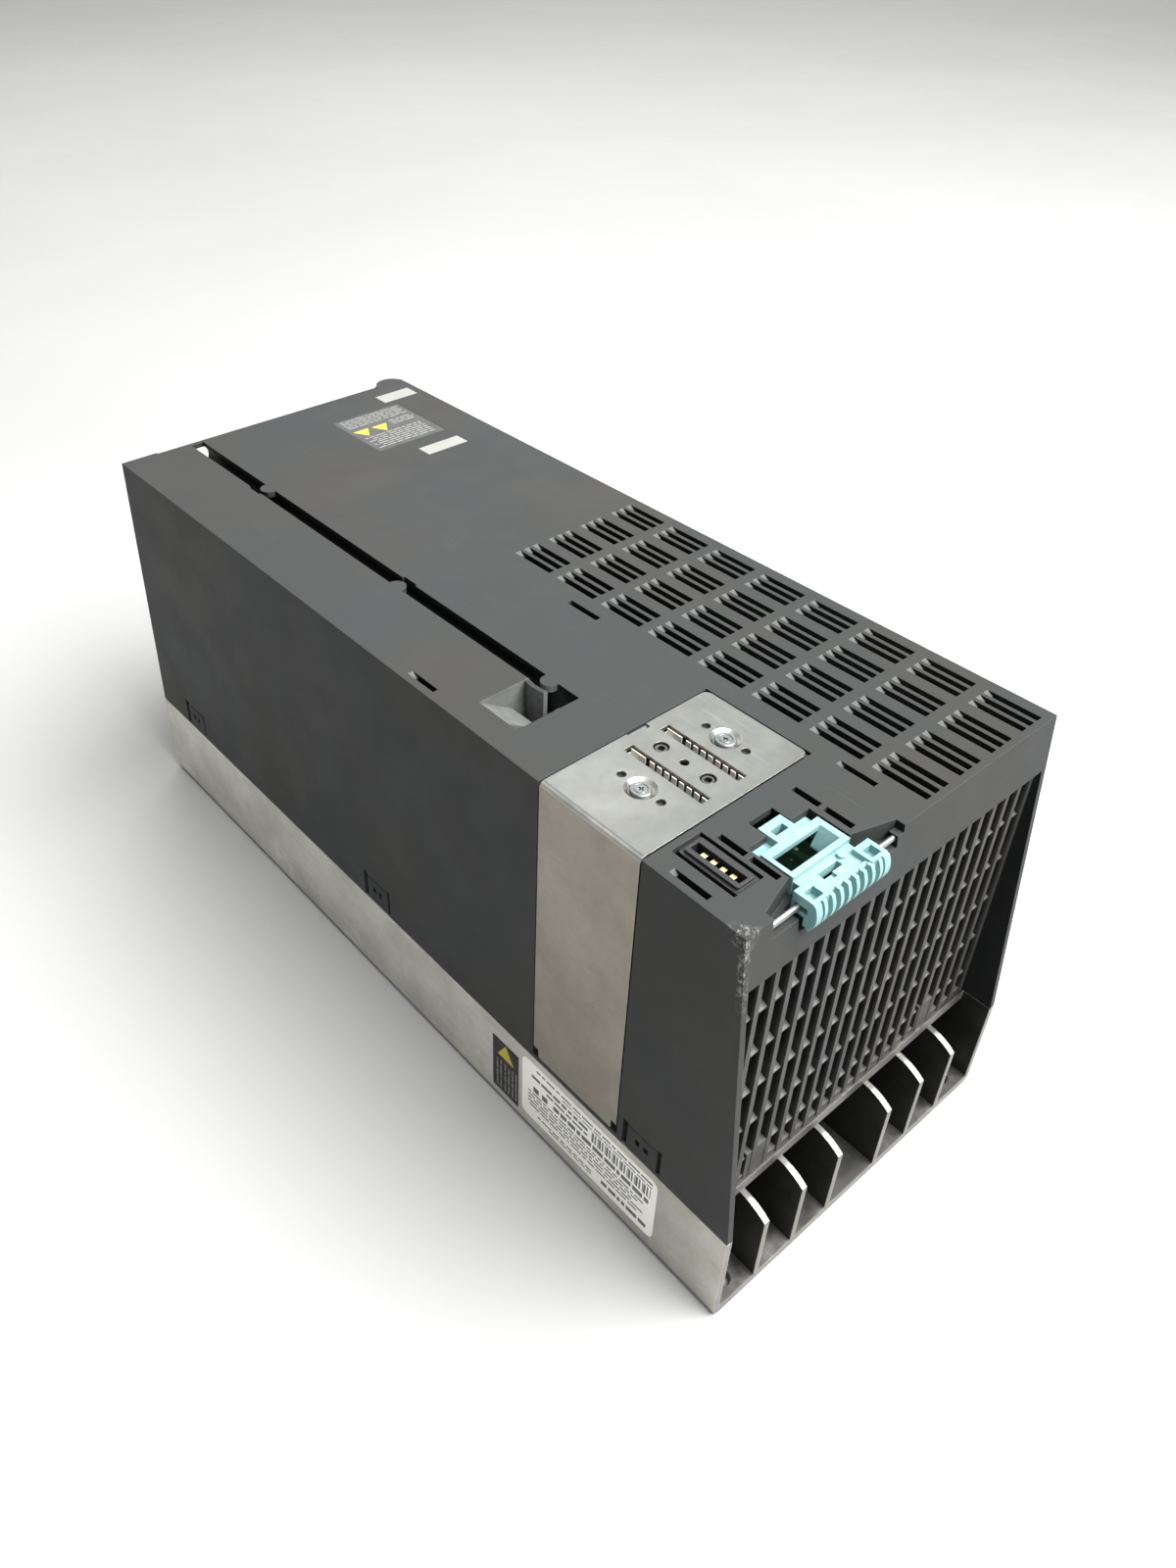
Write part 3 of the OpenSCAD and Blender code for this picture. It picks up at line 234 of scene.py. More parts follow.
    def bump(self, height, depth):
        """Raises the surface by up to `depth` millimetres where height is 1."""
        node = self.add("ShaderNodeBump")
        node.inputs["Strength"].default_value = 1.0
        node.inputs["Distance"].default_value = depth * MM
        self.feed(height, node.inputs["Height"])
        if self.normal is not None:
            self.link(self.normal, node.inputs["Normal"])
        self.normal = node.outputs["Normal"]

    def finish(self, colour, rough):
        self.feed(colour, self.shader.inputs["Base Color"])
        self.feed(rough, self.shader.inputs["Roughness"])
        if self.normal is not None:
            self.link(self.normal, self.shader.inputs["Normal"])
        return self.material


def scratches(s, turn, size=0.5, length=40.0, amount=(0.69, 0.74)):
    """Thin straight marks in one direction."""
    lines = s.noise(size, 1.0, 0.4, stretch=(1, size / length, 1), turn=turn)
    patches = s.noise(40, 1.0, 0.5, turn=turn, shift=(7, 3, 1))
    return s.times(s.between(lines, *amount), s.between(patches, 0.6, 0.7))


def hood_wear_and_painted_light(s, shade, colour):
    """Adds the hood's knocked corner, painted shade on the walls inside it and its slots, and a painted
    highlight on its pocket.
    """
    # The corner beside the latch is knocked and the edge below it scraped
    scrape = s.times(s.near_corner_edge(2.8, 0.5), s.between(s.axis(Z), 137.0, 146.0))
    corner = s.larger(scrape, s.near_point(CORNER, 7.0, 1.5))
    chipped = s.times(corner, s.between(s.noise(1.8, 6.0, 0.9), 0.5, 0.58))
    shade = s.mix(shade, SCRAPED, chipped, 0.85)
    s.bump(chipped, -0.12)
    # Painted shade: the walls inside the hood and its slots are darkened
    walls = s.times(s.inward_of(HALF_WIDTH - 0.2, 0.4), s.between(s.facing(Z), 0.3, 0.1))
    walls = s.times(walls, s.between(s.absolute(s.facing(X)), 0.5, 0.9))
    shade = s.mix(shade, [c * 0.3 for c in colour], walls)
    # The slope and the lip of the pocket at the cable channel are lightened as a painted highlight
    pocket_highlight = s.times(s.near_point(POCKET, 17.0, 13.0), s.between(s.facing(Z), 0.97, 0.9))
    pocket_highlight = s.times(pocket_highlight, s.between(s.axis(Z), POCKET_FLOOR - 0.5, POCKET_FLOOR + 0.5))
    return s.mix(shade, POCKET_HIGHLIGHT, pocket_highlight, s.between(s.noise(3, 3.0), 0.2, 0.7, 0.5, 0.9))


def grille_shade(s, shade, colour):
    """Paints shade into the openings behind the ribs' front and a painted highlight on the ledges."""
    ledge = s.between(s.facing(Z), 0.25, 0.5)
    inner = s.between(s.axis(Y), GRILLE_FRONT + 0.3, GRILLE_FRONT + 1.5)
    inner = s.times(inner, s.math("SUBTRACT", 1.0, ledge))
    shade = s.mix(shade, [c * 0.12 for c in colour], inner)
    return s.mix(shade, PALE, ledge, 0.5)


def moulded(name, colour, pale, rough=(0.42, 0.58), grain=0.5, depth=0.012, edge=0.45, wear_and_highlight=0.5, marks=0.12,
            specular=0.5, extra=None):
    """Moulded plastic: spark-eroded grain, slight blotches, worn edges, a few scratches and a painted
    highlight on slopes that face the latch end.
    """
    s = Surface(name, specular=specular)
    edges = s.rounded_edges(edge)
    blotch = s.between(s.noise(60, 2.0, 0.5), 0.34, 0.68)
    warm = [c * w for c, w in zip(colour, (1.12, 1.0, 0.95))]
    fine = s.noise(grain, 2.0, 0.6)
    shade = s.mix(colour, warm, blotch)
    shade = s.mix(shade, pale, s.between(fine, 0.5, 0.8), 0.06)
    shade = s.mix(shade, pale, s.between(s.noise(14, 5.0, 0.7), 0.56, 0.8), 0.04)
    line = s.larger(scratches(s, (0, 0, 24)), scratches(s, (31, 0, -52), 0.6, 24))
    shade = s.mix(shade, pale, line, marks)
    worn = s.times(edges, s.between(s.noise(5, 4.0, 0.7), 0.36, 0.66, 0.25, 1.0))
    shade = s.mix(shade, pale, worn, wear_and_highlight)
    # Slopes that face the latch end, such as the ends of the vents, are lightened as a painted highlight
    slopes = s.times(s.between(s.facing(Y), -0.3, -0.5), s.between(s.facing(Z), 0.2, 0.4))
    shade = s.mix(shade, pale, slopes, wear_and_highlight)
    if extra:
        shade = extra(s, shade, colour)
    s.bump(fine, depth)
    s.bump(line, -0.01)
    roughness = s.between(s.noise(22, 4.0, 0.6), 0.3, 0.7, rough[0], rough[1])
    return s.finish(shade, roughness)


def metal(name, colour, dark, rough, streak=(1, 1, 1), edge=0.25, bright=0.4, stain=0.4, blotch=16,
          metallic=1.0):
    """Bare or plated metal: drawn or brushed streaks, stains, and bright edges."""
    s = Surface(name, metallic=metallic)
    edges = s.rounded_edges(edge)
    streaks = s.noise(0.5, 3.0, 0.6, stretch=streak)
    stains = s.between(s.noise(blotch, 5.0, 0.68), 0.42, 0.72)
    specks = s.between(s.noise(1.1, 3.0, 0.7), 0.62, 0.74)
    shade = s.mix(colour, dark, stains, stain)
    shade = s.mix(shade, dark, s.between(streaks, 0.45, 0.75), 0.22)
    shade = s.mix(shade, dark, specks, 0.3 * stain)
    shade = s.mix(shade, [min(1.0, c * 1.5) for c in colour], edges, bright)
    s.bump(streaks, 0.004)
    roughness = s.between(s.noise(9, 4.0, 0.65), 0.3, 0.7, rough[0], rough[1])
    return s.finish(shade, roughness)


# ------------------------------------------------------------------ special materials

def heat_sink_surface():
    """Cast aluminium with drawn lines along the fins, painted shade between them and a painted highlight on
    the sloping fin ends.
    """
    s = Surface("cast_aluminium", metallic=0.82)
    base, dark, light = (0.66, 0.65, 0.61), (0.30, 0.29, 0.265), (0.90, 0.90, 0.87)
    plate, arc, tarnish = (0.055, 0.054, 0.052), (0.42, 0.42, 0.40), (0.36, 0.335, 0.285)
    edges = s.rounded_edges(0.5)
    cloud = s.between(s.noise(34, 5.0, 0.65), 0.35, 0.7)
    drawn = s.noise(0.9, 2.0, 0.6, stretch=(1, 0.02, 1))
    grains = s.noise(0.7, 3.0, 0.65)
    shade = s.mix(base, dark, cloud, 0.42)
    shade = s.mix(shade, light, s.between(s.noise(20, 5.0, 0.72, shift=(3, 9, 5)), 0.56, 0.76), 0.45)
    shade = s.mix(shade, dark, s.between(drawn, 0.5, 0.8), 0.25)
    shade = s.mix(shade, dark, s.between(s.cells(2.6), 0.16, 0.02), 0.35)
    # Painted shade: the fins' sides between the side walls are made nearly black
    between_fins = s.times(s.between(s.absolute(s.facing(X)), 0.5, 0.8), s.inward_of(SINK_WALL))
    shade = s.mix(shade, (0.014, 0.0142, 0.014), between_fins, 0.95)
    # Painted shade inside the heat sink near the latch end
    inside = s.times(s.between(s.axis(Y), LATCH_END + 0.5, LATCH_END + 27.5), s.inward_of(SINK_WALL))
    shade = s.mix(shade, (0.04, 0.04, 0.039), inside, 0.85)
    # The plates between the fins are made much darker; the fins' cut ends are brighter higher up, as a
    # painted highlight
    flat = s.times(s.between(s.facing(Z), 0.85, 0.95), s.inward_of(SINK_WALL))
    smudge = s.between(s.noise(13, 5.0, 0.7, shift=(6, 2, 1)), 0.45, 0.75, 0.95, 0.75)
    shade = s.mix(shade, plate, flat, smudge)
    # The outside is tarnished near the latch end
    outside = s.between(s.absolute(s.axis(X)), HALF_WIDTH - 0.6, HALF_WIDTH - 0.2)
    worn_end = s.times(s.between(s.axis(Y), LATCH_END + 59.5, LATCH_END + 27.5), outside)
    shade = s.mix(shade, tarnish, worn_end, s.between(s.noise(16, 5.0, 0.7), 0.3, 0.7, 0.3, 0.75))
    # The fins' ends at the latch are darker, and their upward slopes are lighter: a painted highlight
    ends = s.times(s.between(s.axis(Y), LATCH_END + 37.5, LATCH_END + 27.5),
                   s.between(s.facing(Y), -0.2, -0.4))
    shade = s.mix(shade, (0.21, 0.202, 0.187), ends, 0.9)
    sloped = s.times(ends, s.between(s.facing(Z), 0.12, 0.5))
    shade = s.mix(shade, arc, sloped, 0.9)
    shade = s.mix(shade, light, edges, s.between(flat, 0.0, 1.0, 0.45, 0.08))
    line = scratches(s, (0, 0, 8), 0.5, 50, (0.66, 0.72))
    shade = s.mix(shade, light, line, 0.5)
    s.bump(grains, 0.05)
    s.bump(drawn, 0.02)
    rough = s.between(s.noise(12, 4.0, 0.6), 0.3, 0.7, 0.36, 0.56)
    return s.finish(shade, rough)


def board_surface():
    """Solder mask with tracks, pads and vias."""
    s = Surface("circuit_board")
    mask, track, pad = (0.006, 0.030, 0.015), (0.014, 0.060, 0.028), (0.40, 0.38, 0.32)
    contour = s.math("SUBTRACT", s.noise(5, 1.0, 0.3, stretch=(1, 0.2, 1)), 0.5)
    lanes = s.between(s.absolute(contour), 0.03, 0.015)
    shade = s.mix(mask, track, lanes)
    vias = s.between(s.cells(4.2), 0.16, 0.12)
    shade = s.mix(shade, pad, vias)
    s.bump(lanes, 0.04)
    rough = s.between(s.noise(6, 3.0), 0.3, 0.7, 0.25, 0.42)
    return s.finish(shade, rough)


def winding_surface(name, colour, axis, pitch=1.2):
    """Enamelled wire laid side by side."""
    s = Surface(name, metallic=0.75)
    turns = s.wave(pitch, axis, 0.4)
    # Painted shade: the grooves between the turns are darker
    shade = s.mix([c * 0.35 for c in colour], colour, s.between(turns, 0.1, 0.7))
    shade = s.mix(shade, [min(1, c * 1.3) for c in colour], s.noise(7, 3.0), 0.25)
    s.bump(turns, 0.35)
    return s.finish(shade, s.between(s.noise(3, 3.0), 0.3, 0.7, 0.2, 0.36))


def sleeve_surface():
    """Shrink sleeve of a capacitor with two pale stripes and a bare top."""
    s = Surface("capacitor_sleeve")
    dark, pale = (0.012, 0.02, 0.05), (0.5, 0.52, 0.55)
    height = s.axis(Z)
    # A wide stripe halfway up and a narrow one near the top
    band = s.times(s.between(height, 83.5, 84.0), s.between(height, 90.5, 90.0))
    band = s.larger(band, s.times(s.between(height, 117.6, 118.0), s.between(height, 119.4, 119.0)))
    shade = s.mix(dark, pale, band, 0.8)
    tops = s.between(s.facing(Z), 0.6, 0.8)
    shade = s.mix(shade, (0.55, 0.55, 0.56), tops)
    wrinkle = s.noise(3.5, 3.0, 0.6)
    s.bump(wrinkle, 0.08)
    return s.finish(shade, s.between(s.noise(8, 3.0), 0.3, 0.7, 0.18, 0.34))


def ribbon_surface():
    """Flat cable: side-by-side cores with one coloured edge."""
    s = Surface("ribbon_cable")
    cores = s.wave(1.27, "Y")
    # Painted shade: the grooves between the cores are darker
    shade = s.mix((0.16, 0.16, 0.17), (0.36, 0.36, 0.37), cores)
    shade = s.mix(shade, (0.5, 0.03, 0.03), s.between(s.axis(Y), CABLE_EDGE - 0.3, CABLE_EDGE))
    s.bump(cores, 0.4)
    return s.finish(shade, s.between(s.noise(5, 2.0), 0.3, 0.7, 0.4, 0.55))


def film_surface(name, colour, grime):
    """Printed label film with soiling and light creases."""
    s = Surface(name, specular=0.2)
    stain = s.between(s.noise(9, 5.0, 0.7), 0.5, 0.78)
    shade = s.mix(colour, [c * 0.55 for c in colour], stain, grime * 2)
    specks = s.between(s.noise(0.8, 3.0, 0.7), 0.62, 0.72)
    shade = s.mix(shade, [c * 0.4 for c in colour], specks, grime)
    s.bump(s.noise(4, 3.0, 0.6), 0.03)
    return s.finish(shade, s.between(s.noise(6, 3.0), 0.3, 0.7, 0.3, 0.48))


def ink_surface(name, colour):
    """Printing ink, slightly worn."""
    s = Surface(name)
    worn = s.between(s.noise(1.6, 4.0, 0.7), 0.56, 0.72)
    shade = s.mix(colour, [0.6 * c + 0.14 for c in colour], worn, 0.6)
    s.bump(s.noise(0.5, 2.0), 0.006)
    return s.finish(shade, s.between(s.noise(4, 3.0), 0.3, 0.7, 0.34, 0.5))


def shield_surface():
    """Zinc-plated sheet: fine crystals, handling stains, a faint rolling direction, worn edges with a
    painted highlight, painted light that makes the sides warmer than the top, and a painted highlight where
    the sheet turns down.
    """
    s = Surface("shield_sheet", metallic=1.0)
    cool, warm = (0.228, 0.237, 0.222), (0.280, 0.256, 0.210)
    dark, light = (0.18, 0.172, 0.152), (0.46, 0.45, 0.42)
    edges = s.rounded_edges(0.3)
    up = s.facing(Z)
    # Painted light: the sides are warmer and brighter than the top
    base = s.mix(warm, cool, s.between(up, 0.3, 0.8))
    rolled = s.noise(0.6, 3.0, 0.6, stretch=(1, 0.05, 1))
    cloud = s.between(s.noise(11, 6.0, 0.72), 0.36, 0.70)
    smear = s.between(s.noise(26, 4.0, 0.6, shift=(4, 4, 8)), 0.42, 0.66)
    shade = s.mix(base, dark, cloud, 0.38)
    shade = s.mix(shade, light, smear, 0.16)
    shade = s.mix(shade, dark, s.between(s.noise(1.3, 4.0, 0.75), 0.58, 0.72), 0.28)
    line = s.larger(scratches(s, (0, 90, 12), 0.4, 30, (0.66, 0.71)),
                    scratches(s, (0, 0, 70), 0.35, 22, (0.67, 0.72)))
    shade = s.mix(shade, light, line, 0.45)
    # Worn edges, lightened further as a painted highlight on the rims
    shade = s.mix(shade, light, edges, 0.6)
    # The bend gets a painted highlight
    bend = s.times(s.between(up, 0.2, 0.5), s.between(up, 0.97, 0.85))
    shade = s.mix(shade, (0.9, 0.88, 0.82), bend, s.between(s.facing(X), -0.1, -0.3, 0.0, 0.85))
    s.bump(rolled, 0.004)
    s.bump(s.noise(30, 2.0, 0.5, shift=(2, 0, 7)), 0.25)
    rough = s.between(s.noise(8, 5.0, 0.7), 0.3, 0.7, 0.34, 0.46)
    return s.finish(shade, rough)


def latch_surface():
    """Turquoise moulding with whitish scuffs on its raised parts."""
    s = Surface("latch_plastic")
    base, deep, chalk = (0.215, 0.385, 0.39), (0.13, 0.28, 0.29), (0.42, 0.50, 0.50)
    edges = s.rounded_edges(0.35)
    shade = s.mix(base, deep, s.between(s.noise(9, 4.0, 0.6), 0.4, 0.7), 0.45)
    scuff = s.between(s.noise(2.4, 6.0, 0.75), 0.52, 0.72)
    shade = s.mix(shade, chalk, scuff, 0.4)
    shade = s.mix(shade, chalk, s.times(edges, s.between(s.noise(1.5, 3.0), 0.35, 0.6)), 0.75)
    s.bump(s.noise(0.4, 2.0), 0.01)
    return s.finish(shade, s.between(s.noise(5, 3.0), 0.3, 0.7, 0.36, 0.52))


# ------------------------------------------------------------------ finishes of the CAD nodes

hood_plastic = moulded("hood_plastic", ANTHRACITE, PALE, rough=(0.46, 0.54), wear_and_highlight=0.6, specular=0.1,
                       extra=hood_wear_and_painted_light)
grille_plastic = moulded("grille_plastic", (0.042, 0.043, 0.042), PALE, edge=0.2, wear_and_highlight=0.5, marks=0.1,
                         specular=0.25, extra=grille_shade)
panel_plastic = moulded("panel_plastic", (0.036, 0.037, 0.036), PALE, edge=0.2, wear_and_highlight=0.5, marks=0.1,
                        specular=0.25)
black_plastic = moulded("black_plastic", (0.016, 0.016, 0.017), WORN_BLACK, wear_and_highlight=0.2, marks=0.15)
plug_plastic = moulded("plug_plastic", (0.022, 0.022, 0.024), WORN_BLACK, wear_and_highlight=0.25, marks=0.15, grain=0.35)
green_plastic = moulded("terminal_plastic", (0.02, 0.16, 0.075), (0.2, 0.4, 0.28), wear_and_highlight=0.2, marks=0.1)
module_plastic = moulded("module_plastic", (0.62, 0.6, 0.54), (0.85, 0.84, 0.8), wear_and_highlight=0.2, marks=0.1)
yellow_plastic = moulded("film_capacitor", (0.55, 0.36, 0.03), (0.8, 0.65, 0.2), rough=(0.25, 0.4),
                         wear_and_highlight=0.15)
blue_plastic = moulded("sensor_plastic", (0.02, 0.06, 0.2), (0.2, 0.3, 0.5), wear_and_highlight=0.15)
core_coat = moulded("core_coat", (0.035, 0.06, 0.025), (0.2, 0.25, 0.15), rough=(0.25, 0.4), grain=1.2,
                    depth=0.08)
rotor_plastic = moulded("rotor_plastic", (0.02, 0.02, 0.022), WORN_BLACK, rough=(0.35, 0.5), wear_and_highlight=0.1)
tape = moulded("transformer_tape", (0.42, 0.27, 0.05), (0.7, 0.6, 0.3), rough=(0.2, 0.35), grain=2.0,
               depth=0.05)

plated = metal("plated_steel", (0.62, 0.62, 0.6), (0.3, 0.3, 0.28), rough=(0.2, 0.36), stain=0.3, blotch=5)
screw_heads = metal("zinc_screw", (0.24, 0.255, 0.255), (0.15, 0.157, 0.157), rough=(0.36, 0.46), stain=0.3,
                    blotch=3)
dark_steel = metal("black_oxide", (0.12, 0.12, 0.12), (0.04, 0.04, 0.04), rough=(0.28, 0.42), bright=0.6,
                   blotch=4)
tinned = metal("tinned_metal", (0.66, 0.66, 0.63), (0.34, 0.34, 0.32), rough=(0.22, 0.36), stain=0.3,
               blotch=4)
spring = metal("spring_sheet", (0.92, 0.89, 0.80), (0.6, 0.57, 0.5), rough=(0.35, 0.5), edge=0.12,
               stain=0.2, blotch=4, metallic=0.3)
wire = metal("bright_wire", (0.42, 0.42, 0.41), (0.3, 0.3, 0.29), rough=(0.3, 0.4), edge=0.1, stain=0.1)
bearing = metal("ground_steel", (0.7, 0.7, 0.7), (0.4, 0.4, 0.4), rough=(0.12, 0.22), edge=0.2)
gold = metal("gold_contact", (0.55, 0.46, 0.27), (0.4, 0.32, 0.16), rough=(0.16, 0.28), edge=0.15,
             stain=0.2)
turned_brass = metal("turned_brass", (0.74, 0.55, 0.25), (0.42, 0.3, 0.12), rough=(0.2, 0.34),
                     streak=(1, 1, 6))
copper = metal("copper_bar", (0.72, 0.36, 0.2), (0.4, 0.18, 0.09), rough=(0.22, 0.36), streak=(1, 0.1, 1))
heat_sink_metal = heat_sink_surface()

FINISH = {
    # The outside and the latch end
    "heat_sink": heat_sink_metal, "hood": hood_plastic, "outlet_grille": grille_plastic,
    "shield_plate": shield_surface(), "shield_screws": screw_heads, "contact_carrier": black_plastic,
    "contact_springs": spring, "carrier_screws": dark_steel, "release_latch": latch_surface(),
    "latch_wire": wire, "interface_connector": black_plastic, "interface_contacts": gold,
    "control_board": board_surface(), "control_chips": black_plastic, "control_board_screws": plated,
    "ribbon_cable": ribbon_surface(),
    # Power board and what stands on it
    "board_standoffs": turned_brass, "board_screws": plated,
    "power_module": module_plastic, "rectifier_module": module_plastic, "module_screws": plated,
    "dc_link_capacitors": sleeve_surface(), "choke_core": core_coat,
    "choke_windings": winding_surface("choke_wire", (0.6, 0.25, 0.09), "Z"),
    "filter_capacitors": yellow_plastic, "precharge_relay": black_plastic, "supply_transformer": tape,
    "current_sensors": blue_plastic, "motor_busbars": copper,
    # Terminals
    "line_header": green_plastic, "motor_header": green_plastic, "brake_header": green_plastic,
    "header_pins": tinned, "line_plug": plug_plastic, "motor_plug": plug_plastic, "brake_plug": plug_plastic,
    "line_clamps": tinned, "motor_clamps": tinned, "brake_clamps": tinned,
    "line_clamp_screws": plated, "motor_clamp_screws": plated, "brake_clamp_screws": plated,
    "terminal_panel": panel_plastic,
    # Fans
    "fan_carrier": black_plastic, "fan_housings": black_plastic,
    "fan_stators": winding_surface("stator_wire", (0.6, 0.28, 0.1), "Y", 0.9), "fan_bearings": bearing,
    "left_fan_rotor": rotor_plastic, "right_fan_rotor": rotor_plastic, "fan_guards": wire,
    "fan_screws": plated, "earth_screws": plated,
    # Labels
    "rating_label": film_surface("rating_film", (1.0, 0.99, 0.93), 0.06),
    "warning_label": film_surface("warning_film", (0.010, 0.010, 0.010), 0.1),
    "instruction_label": film_surface("instruction_film", (0.06, 0.062, 0.061), 0.1),
    "stickers": film_surface("sticker_film", (0.27, 0.27, 0.25), 0.1),
}
FINISH["power_board"] = FINISH["control_board"]

for node_name, finish in FINISH.items():
    for material_slot in nodes[node_name].material_slots:
        material_slot.material = finish


# ------------------------------------------------------------------ printing on the labels

INK_DARK = ink_surface("ink_dark", (0.10, 0.10, 0.10))
INK_PALE = ink_surface("ink_pale", (0.2, 0.2, 0.19))
INK_YELLOW = ink_surface("ink_yellow", (0.50, 0.42, 0.02))
INK_THICK = 0.02


def printed(name, label, ink, shapes, ride="drive_unit"):
    """Thin ink shapes on a label. A shape is a list of (u, v) points in millimetres.

    On the heat sink's side u is Y and v is Z; on the front face u is X and v is Y.
    """
    low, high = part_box(label)
    on_side = high[0] - low[0] < 0.001
    mesh = bmesh.new()
    for shape in shapes:
        if on_side:
            points = [Vector((low[0] - INK_THICK * MM, u * MM, v * MM)) for u, v in shape]
            outward = Vector((-1, 0, 0))
        else:
            points = [Vector((u * MM, v * MM, high[2] + INK_THICK * MM)) for u, v in shape]
            outward = Vector((0, 0, 1))
        top = [mesh.verts.new(p) for p in points]
        bottom = [mesh.verts.new(p - outward * INK_THICK * MM) for p in points]
        mesh.faces.new(top)
        mesh.faces.new(bottom[::-1])
        for i in range(len(points)):
            j = (i + 1) % len(points)
            mesh.faces.new((top[i], bottom[i], bottom[j], top[j]))
    bmesh.ops.recalc_face_normals(mesh, faces=mesh.faces)
    data = bpy.data.meshes.new(name)
    mesh.to_mesh(data)
    mesh.free()
    piece = bpy.data.objects.new(name, data)
    scene.collection.objects.link(piece)
    data.materials.append(ink)
    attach(piece, ride)
    return piece


def bar(u0, v0, u1, v1):
    """Rectangle between two opposite corners."""
    return [(u0, v0), (u1, v0), (u1, v1), (u0, v1)]


def dashes(u0, u1, v, height, seed):
    """A row of short bars of uneven length, as a stand-in for a line of print.

    The lengths come from a fixed sequence that starts at `seed`, so they are the same each run.
    """
    row = []
    u = u0
    step = seed
    while u < u1 - 1:
        step = (step * 37 + 11) % 101
        length = 1.2 + 4.2 * step / 101
        row.append(bar(u, v, min(u + length, u1), v + height))
        u += length + 0.7
    return row


def upright_dashes(v0, v1, u, width, seed):
    """The same, running along v."""
    return [[(p[1], p[0]) for p in shape] for shape in dashes(v0, v1, u, width, seed)]


def triangle(u, v, size, turn=0.0):
    """Plain triangle around its middle, its tip along +v when turn is 0."""
    points = []
    for i in range(3):
        angle = math.radians(90 + turn + 120 * i)
        points.append((u + size * 0.6 * math.cos(angle), v + size * 0.6 * math.sin(angle)))
    return points


def rating_print():
    """Plain bars laid out like a rating plate: headings, bar code, boxes and lines of print."""
    rows = dashes(-147, -91, 35.4, 0.9, 5) + dashes(-147, -104, 33.6, 0.6, 17)
    for i in range(24):
        left = -146.5 + 1.15 * i
        rows.append(bar(left, 27.6, left + 0.35 + 0.3 * ((i * 7) % 3), 32.6))
    rows += dashes(-117, -88, 30.6, 1.5, 29) + dashes(-117, -96, 28.0, 1.1, 41)
    rows += dashes(-146, -100, 24.0, 2.2, 3)
    rows += [bar(-97 + 4.6 * i, 23.4, -94.2 + 4.6 * i, 26.2) for i in range(2)]
    for i, v in enumerate((21.6, 19.8, 18.0, 16.2, 14.4)):
        rows += dashes(-144 + 2.5 * (i % 3), -87, v, 0.8, 13 * i + 7)
    rows += dashes(-146, -124, 10.0, 2.0, 23)
    rows += dashes(-120, -92, 10.6, 0.8, 31) + dashes(-120, -98, 9.2, 0.6, 47)
    return rows


def warning_print():
    """Six upright lines of print below the mark."""
    rows = []
    for i, u in enumerate((-80.6, -78.6, -76.6, -74.6, -72.2, -70.2)):
        rows += upright_dashes(7.0, 22.5, u, 0.75, 19 * i + 5)
    return rows


def instruction_print():
    """Three paragraphs of print; the middle one leaves room for the marks."""
    rows = []
    for i, v in enumerate((146.6, 144.8, 143.0, 141.2, 139.4)):
        rows += dashes(20, 50.5, v, 0.8, 23 * i + 3)
    for i, v in enumerate((136.0, 134.2, 132.4)):
        rows += dashes(38.5, 50.5, v, 0.8, 31 * i + 9)
    for i, v in enumerate((127.0, 125.2, 123.4, 121.6, 119.8, 118.0, 116.2)):
        rows += dashes(20 + 3 * (i % 2), 49, v, 0.8, 17 * i + 11)
    return rows


printed("rating_print", "rating_label", INK_DARK, rating_print())
printed("warning_print", "warning_label", INK_PALE, warning_print())
printed("warning_mark", "warning_label", INK_YELLOW, [triangle(-74.4, 27.6, 8.5)])
printed("instruction_print", "instruction_label", INK_PALE, instruction_print())
printed("instruction_marks", "instruction_label", INK_YELLOW,
        [triangle(23.5, 133.6, 7.4, 180), triangle(32.6, 133.2, 7.4, 180)])


# ------------------------------------------------------------------ camera, floor and light

CAMERA_AT = Vector((-0.24314, -0.28351, 0.38699))
CAMERA_AZIMUTH, CAMERA_ELEVATION, CAMERA_ROLL = -40.33, 37.35, 0.38
FOCAL_MM = 28.06
SHIFT = (0.0452, -0.0439)


def make_camera():
    """Camera that matches the photo, from its place, direction, roll and lens."""
    azimuth, elevation = math.radians(CAMERA_AZIMUTH), math.radians(CAMERA_ELEVATION)
    back = Vector((math.sin(azimuth) * math.cos(elevation), -math.cos(azimuth) * math.cos(elevation),
                   math.sin(elevation)))
    right = Vector((math.cos(azimuth), math.sin(azimuth), 0))
    up = back.cross(right)
    roll = math.radians(CAMERA_ROLL)
    right, up = right * math.cos(roll) + up * math.sin(roll), up * math.cos(roll) - right * math.sin(roll)
    data = bpy.data.cameras.new("camera")
    data.sensor_width = 36
    data.lens = FOCAL_MM
    data.shift_x, data.shift_y = SHIFT
    data.clip_start = 0.01
    camera = bpy.data.objects.new("camera", data)
    scene.collection.objects.link(camera)
    turn = Matrix((right, up, back)).transposed()
    camera.matrix_world = Matrix.Translation(CAMERA_AT) @ turn.to_4x4()
    scene.camera = camera


def soft_light(name, place, aim, size, power):
    """Rectangular area light at a place, turned towards its aim. Metres and watts."""
    data = bpy.data.lights.new(name, "AREA")
    data.shape = "RECTANGLE"
    data.size, data.size_y = size
    data.energy = power
    light = bpy.data.objects.new(name, data)
    scene.collection.objects.link(light)
    light.location = place
    light.rotation_euler = (Vector(aim) - Vector(place)).to_track_quat("-Z", "Y").to_euler()


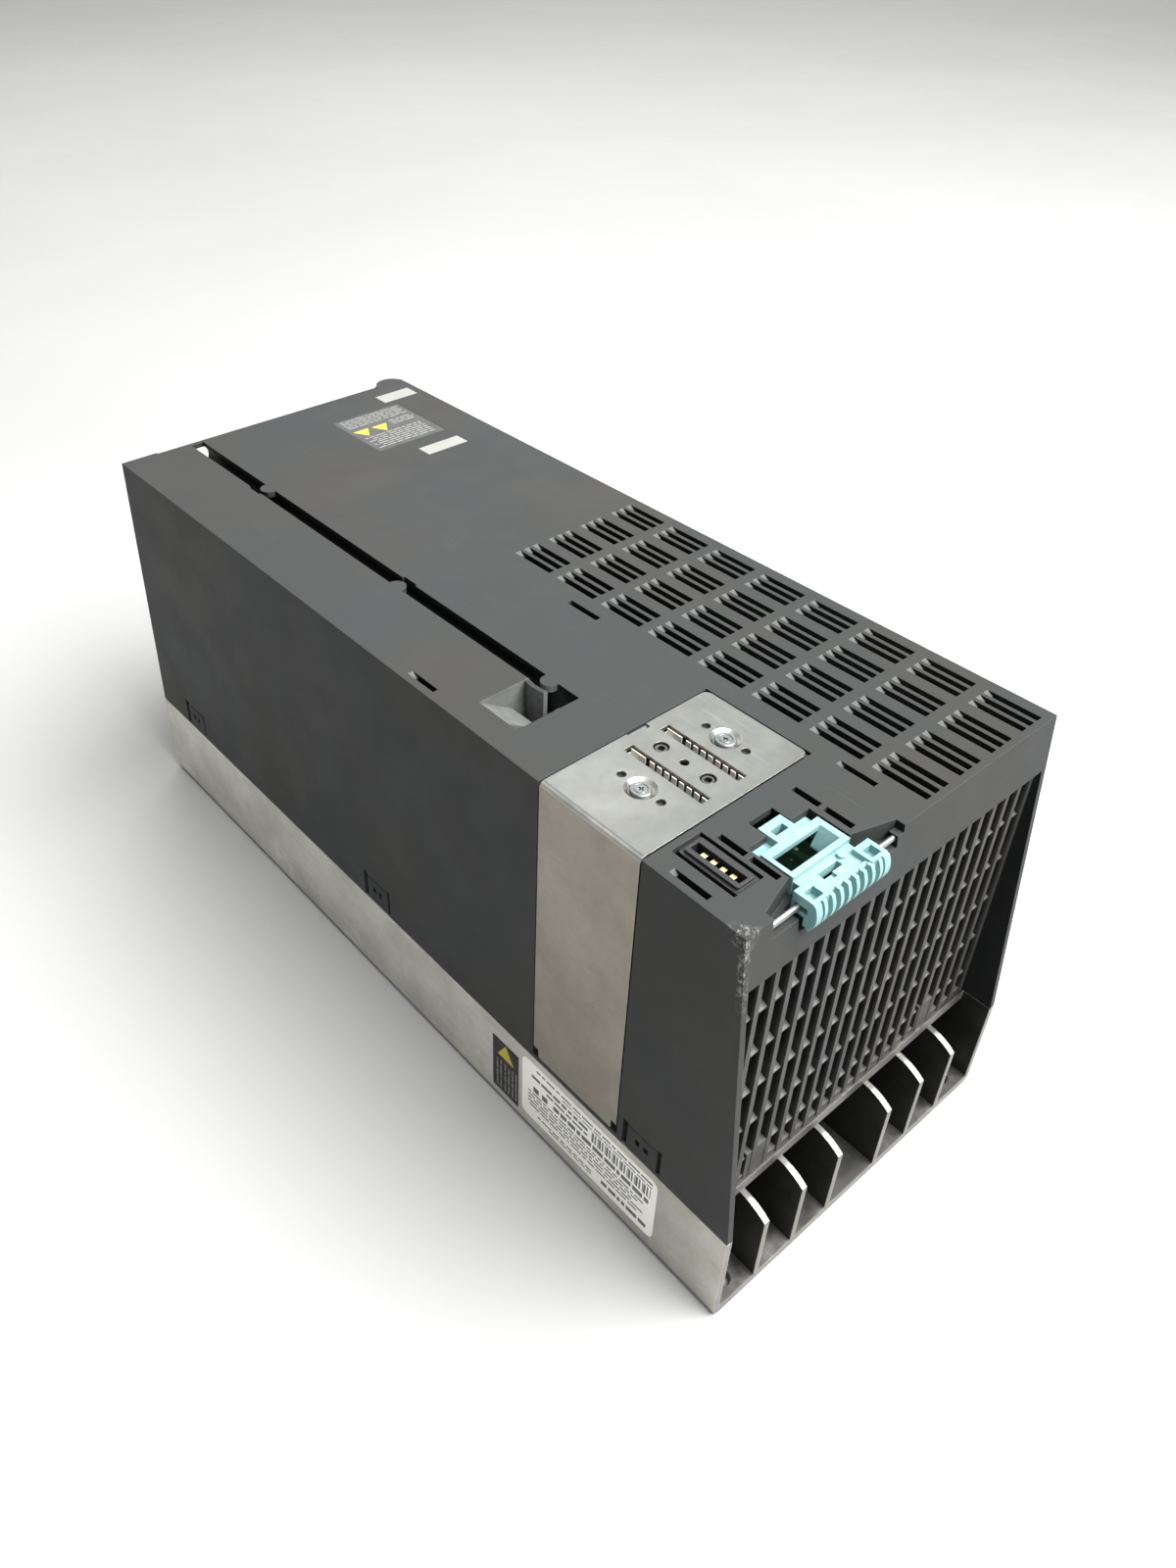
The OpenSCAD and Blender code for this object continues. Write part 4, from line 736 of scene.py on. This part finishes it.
def make_floor():
    """Wide pale floor just under the drive."""
    data = bpy.data.meshes.new("floor")
    reach, level = 40.0, -0.0002
    corners = [(-reach, -reach), (reach, -reach), (reach, reach), (-reach, reach)]
    data.from_pydata([(x, y, level) for x, y in corners], [], [(0, 1, 2, 3)])
    floor = bpy.data.objects.new("floor", data)
    scene.collection.objects.link(floor)
    s = Surface("floor_paper", specular=0.2)
    s.bump(s.noise(3, 2.0), 0.02)
    tint = s.mix((0.42, 0.42, 0.417), (0.405, 0.405, 0.40), s.between(s.noise(400, 2.0), 0.3, 0.7))
    data.materials.append(s.finish(tint, s.between(s.noise(40, 2.0), 0.3, 0.7, 0.6, 0.75)))


make_camera()
make_floor()
soft_light("ceiling_panel", (0.5, -1.0, 1.9), (0.1, -0.1, 0.1), (1.8, 1.5), 152)
soft_light("window", (0.7, 1.45, 1.25), (0.2, 0.4, 0.0), (1.9, 1.5), 8)
soft_light("far_fill", (2.6, 3.0, 2.8), (2.6, 3.0, 0.0), (3.5, 3.5), 75)
soft_light("left_fill", (-1.2, -1.1, 0.6), (-0.07, -0.12, 0.05), (0.8, 0.8), 2.5)
soft_light("near_end", (0.7, -1.4, 0.9), (0.0, -0.17, 0.1), (0.9, 0.9), 4)


def make_world():
    """A bright ceiling over dim walls."""
    world = bpy.data.worlds.new("studio")
    world.use_nodes = True
    tree = world.node_tree
    background = tree.nodes["Background"]
    background.inputs["Color"].default_value = (1, 1, 1, 1)
    place = tree.nodes.new("ShaderNodeTexCoord")
    parts = tree.nodes.new("ShaderNodeSeparateXYZ")
    ramp = tree.nodes.new("ShaderNodeMapRange")
    ramp.interpolation_type = "SMOOTHSTEP"
    ramp.inputs["From Min"].default_value = 0.6
    ramp.inputs["From Max"].default_value = 1.0
    ramp.inputs["To Min"].default_value = 0.2
    ramp.inputs["To Max"].default_value = 0.8
    tree.links.new(place.outputs["Generated"], parts.inputs[0])
    tree.links.new(parts.outputs["Z"], ramp.inputs["Value"])
    tree.links.new(ramp.outputs["Result"], background.inputs["Strength"])
    scene.world = world


make_world()
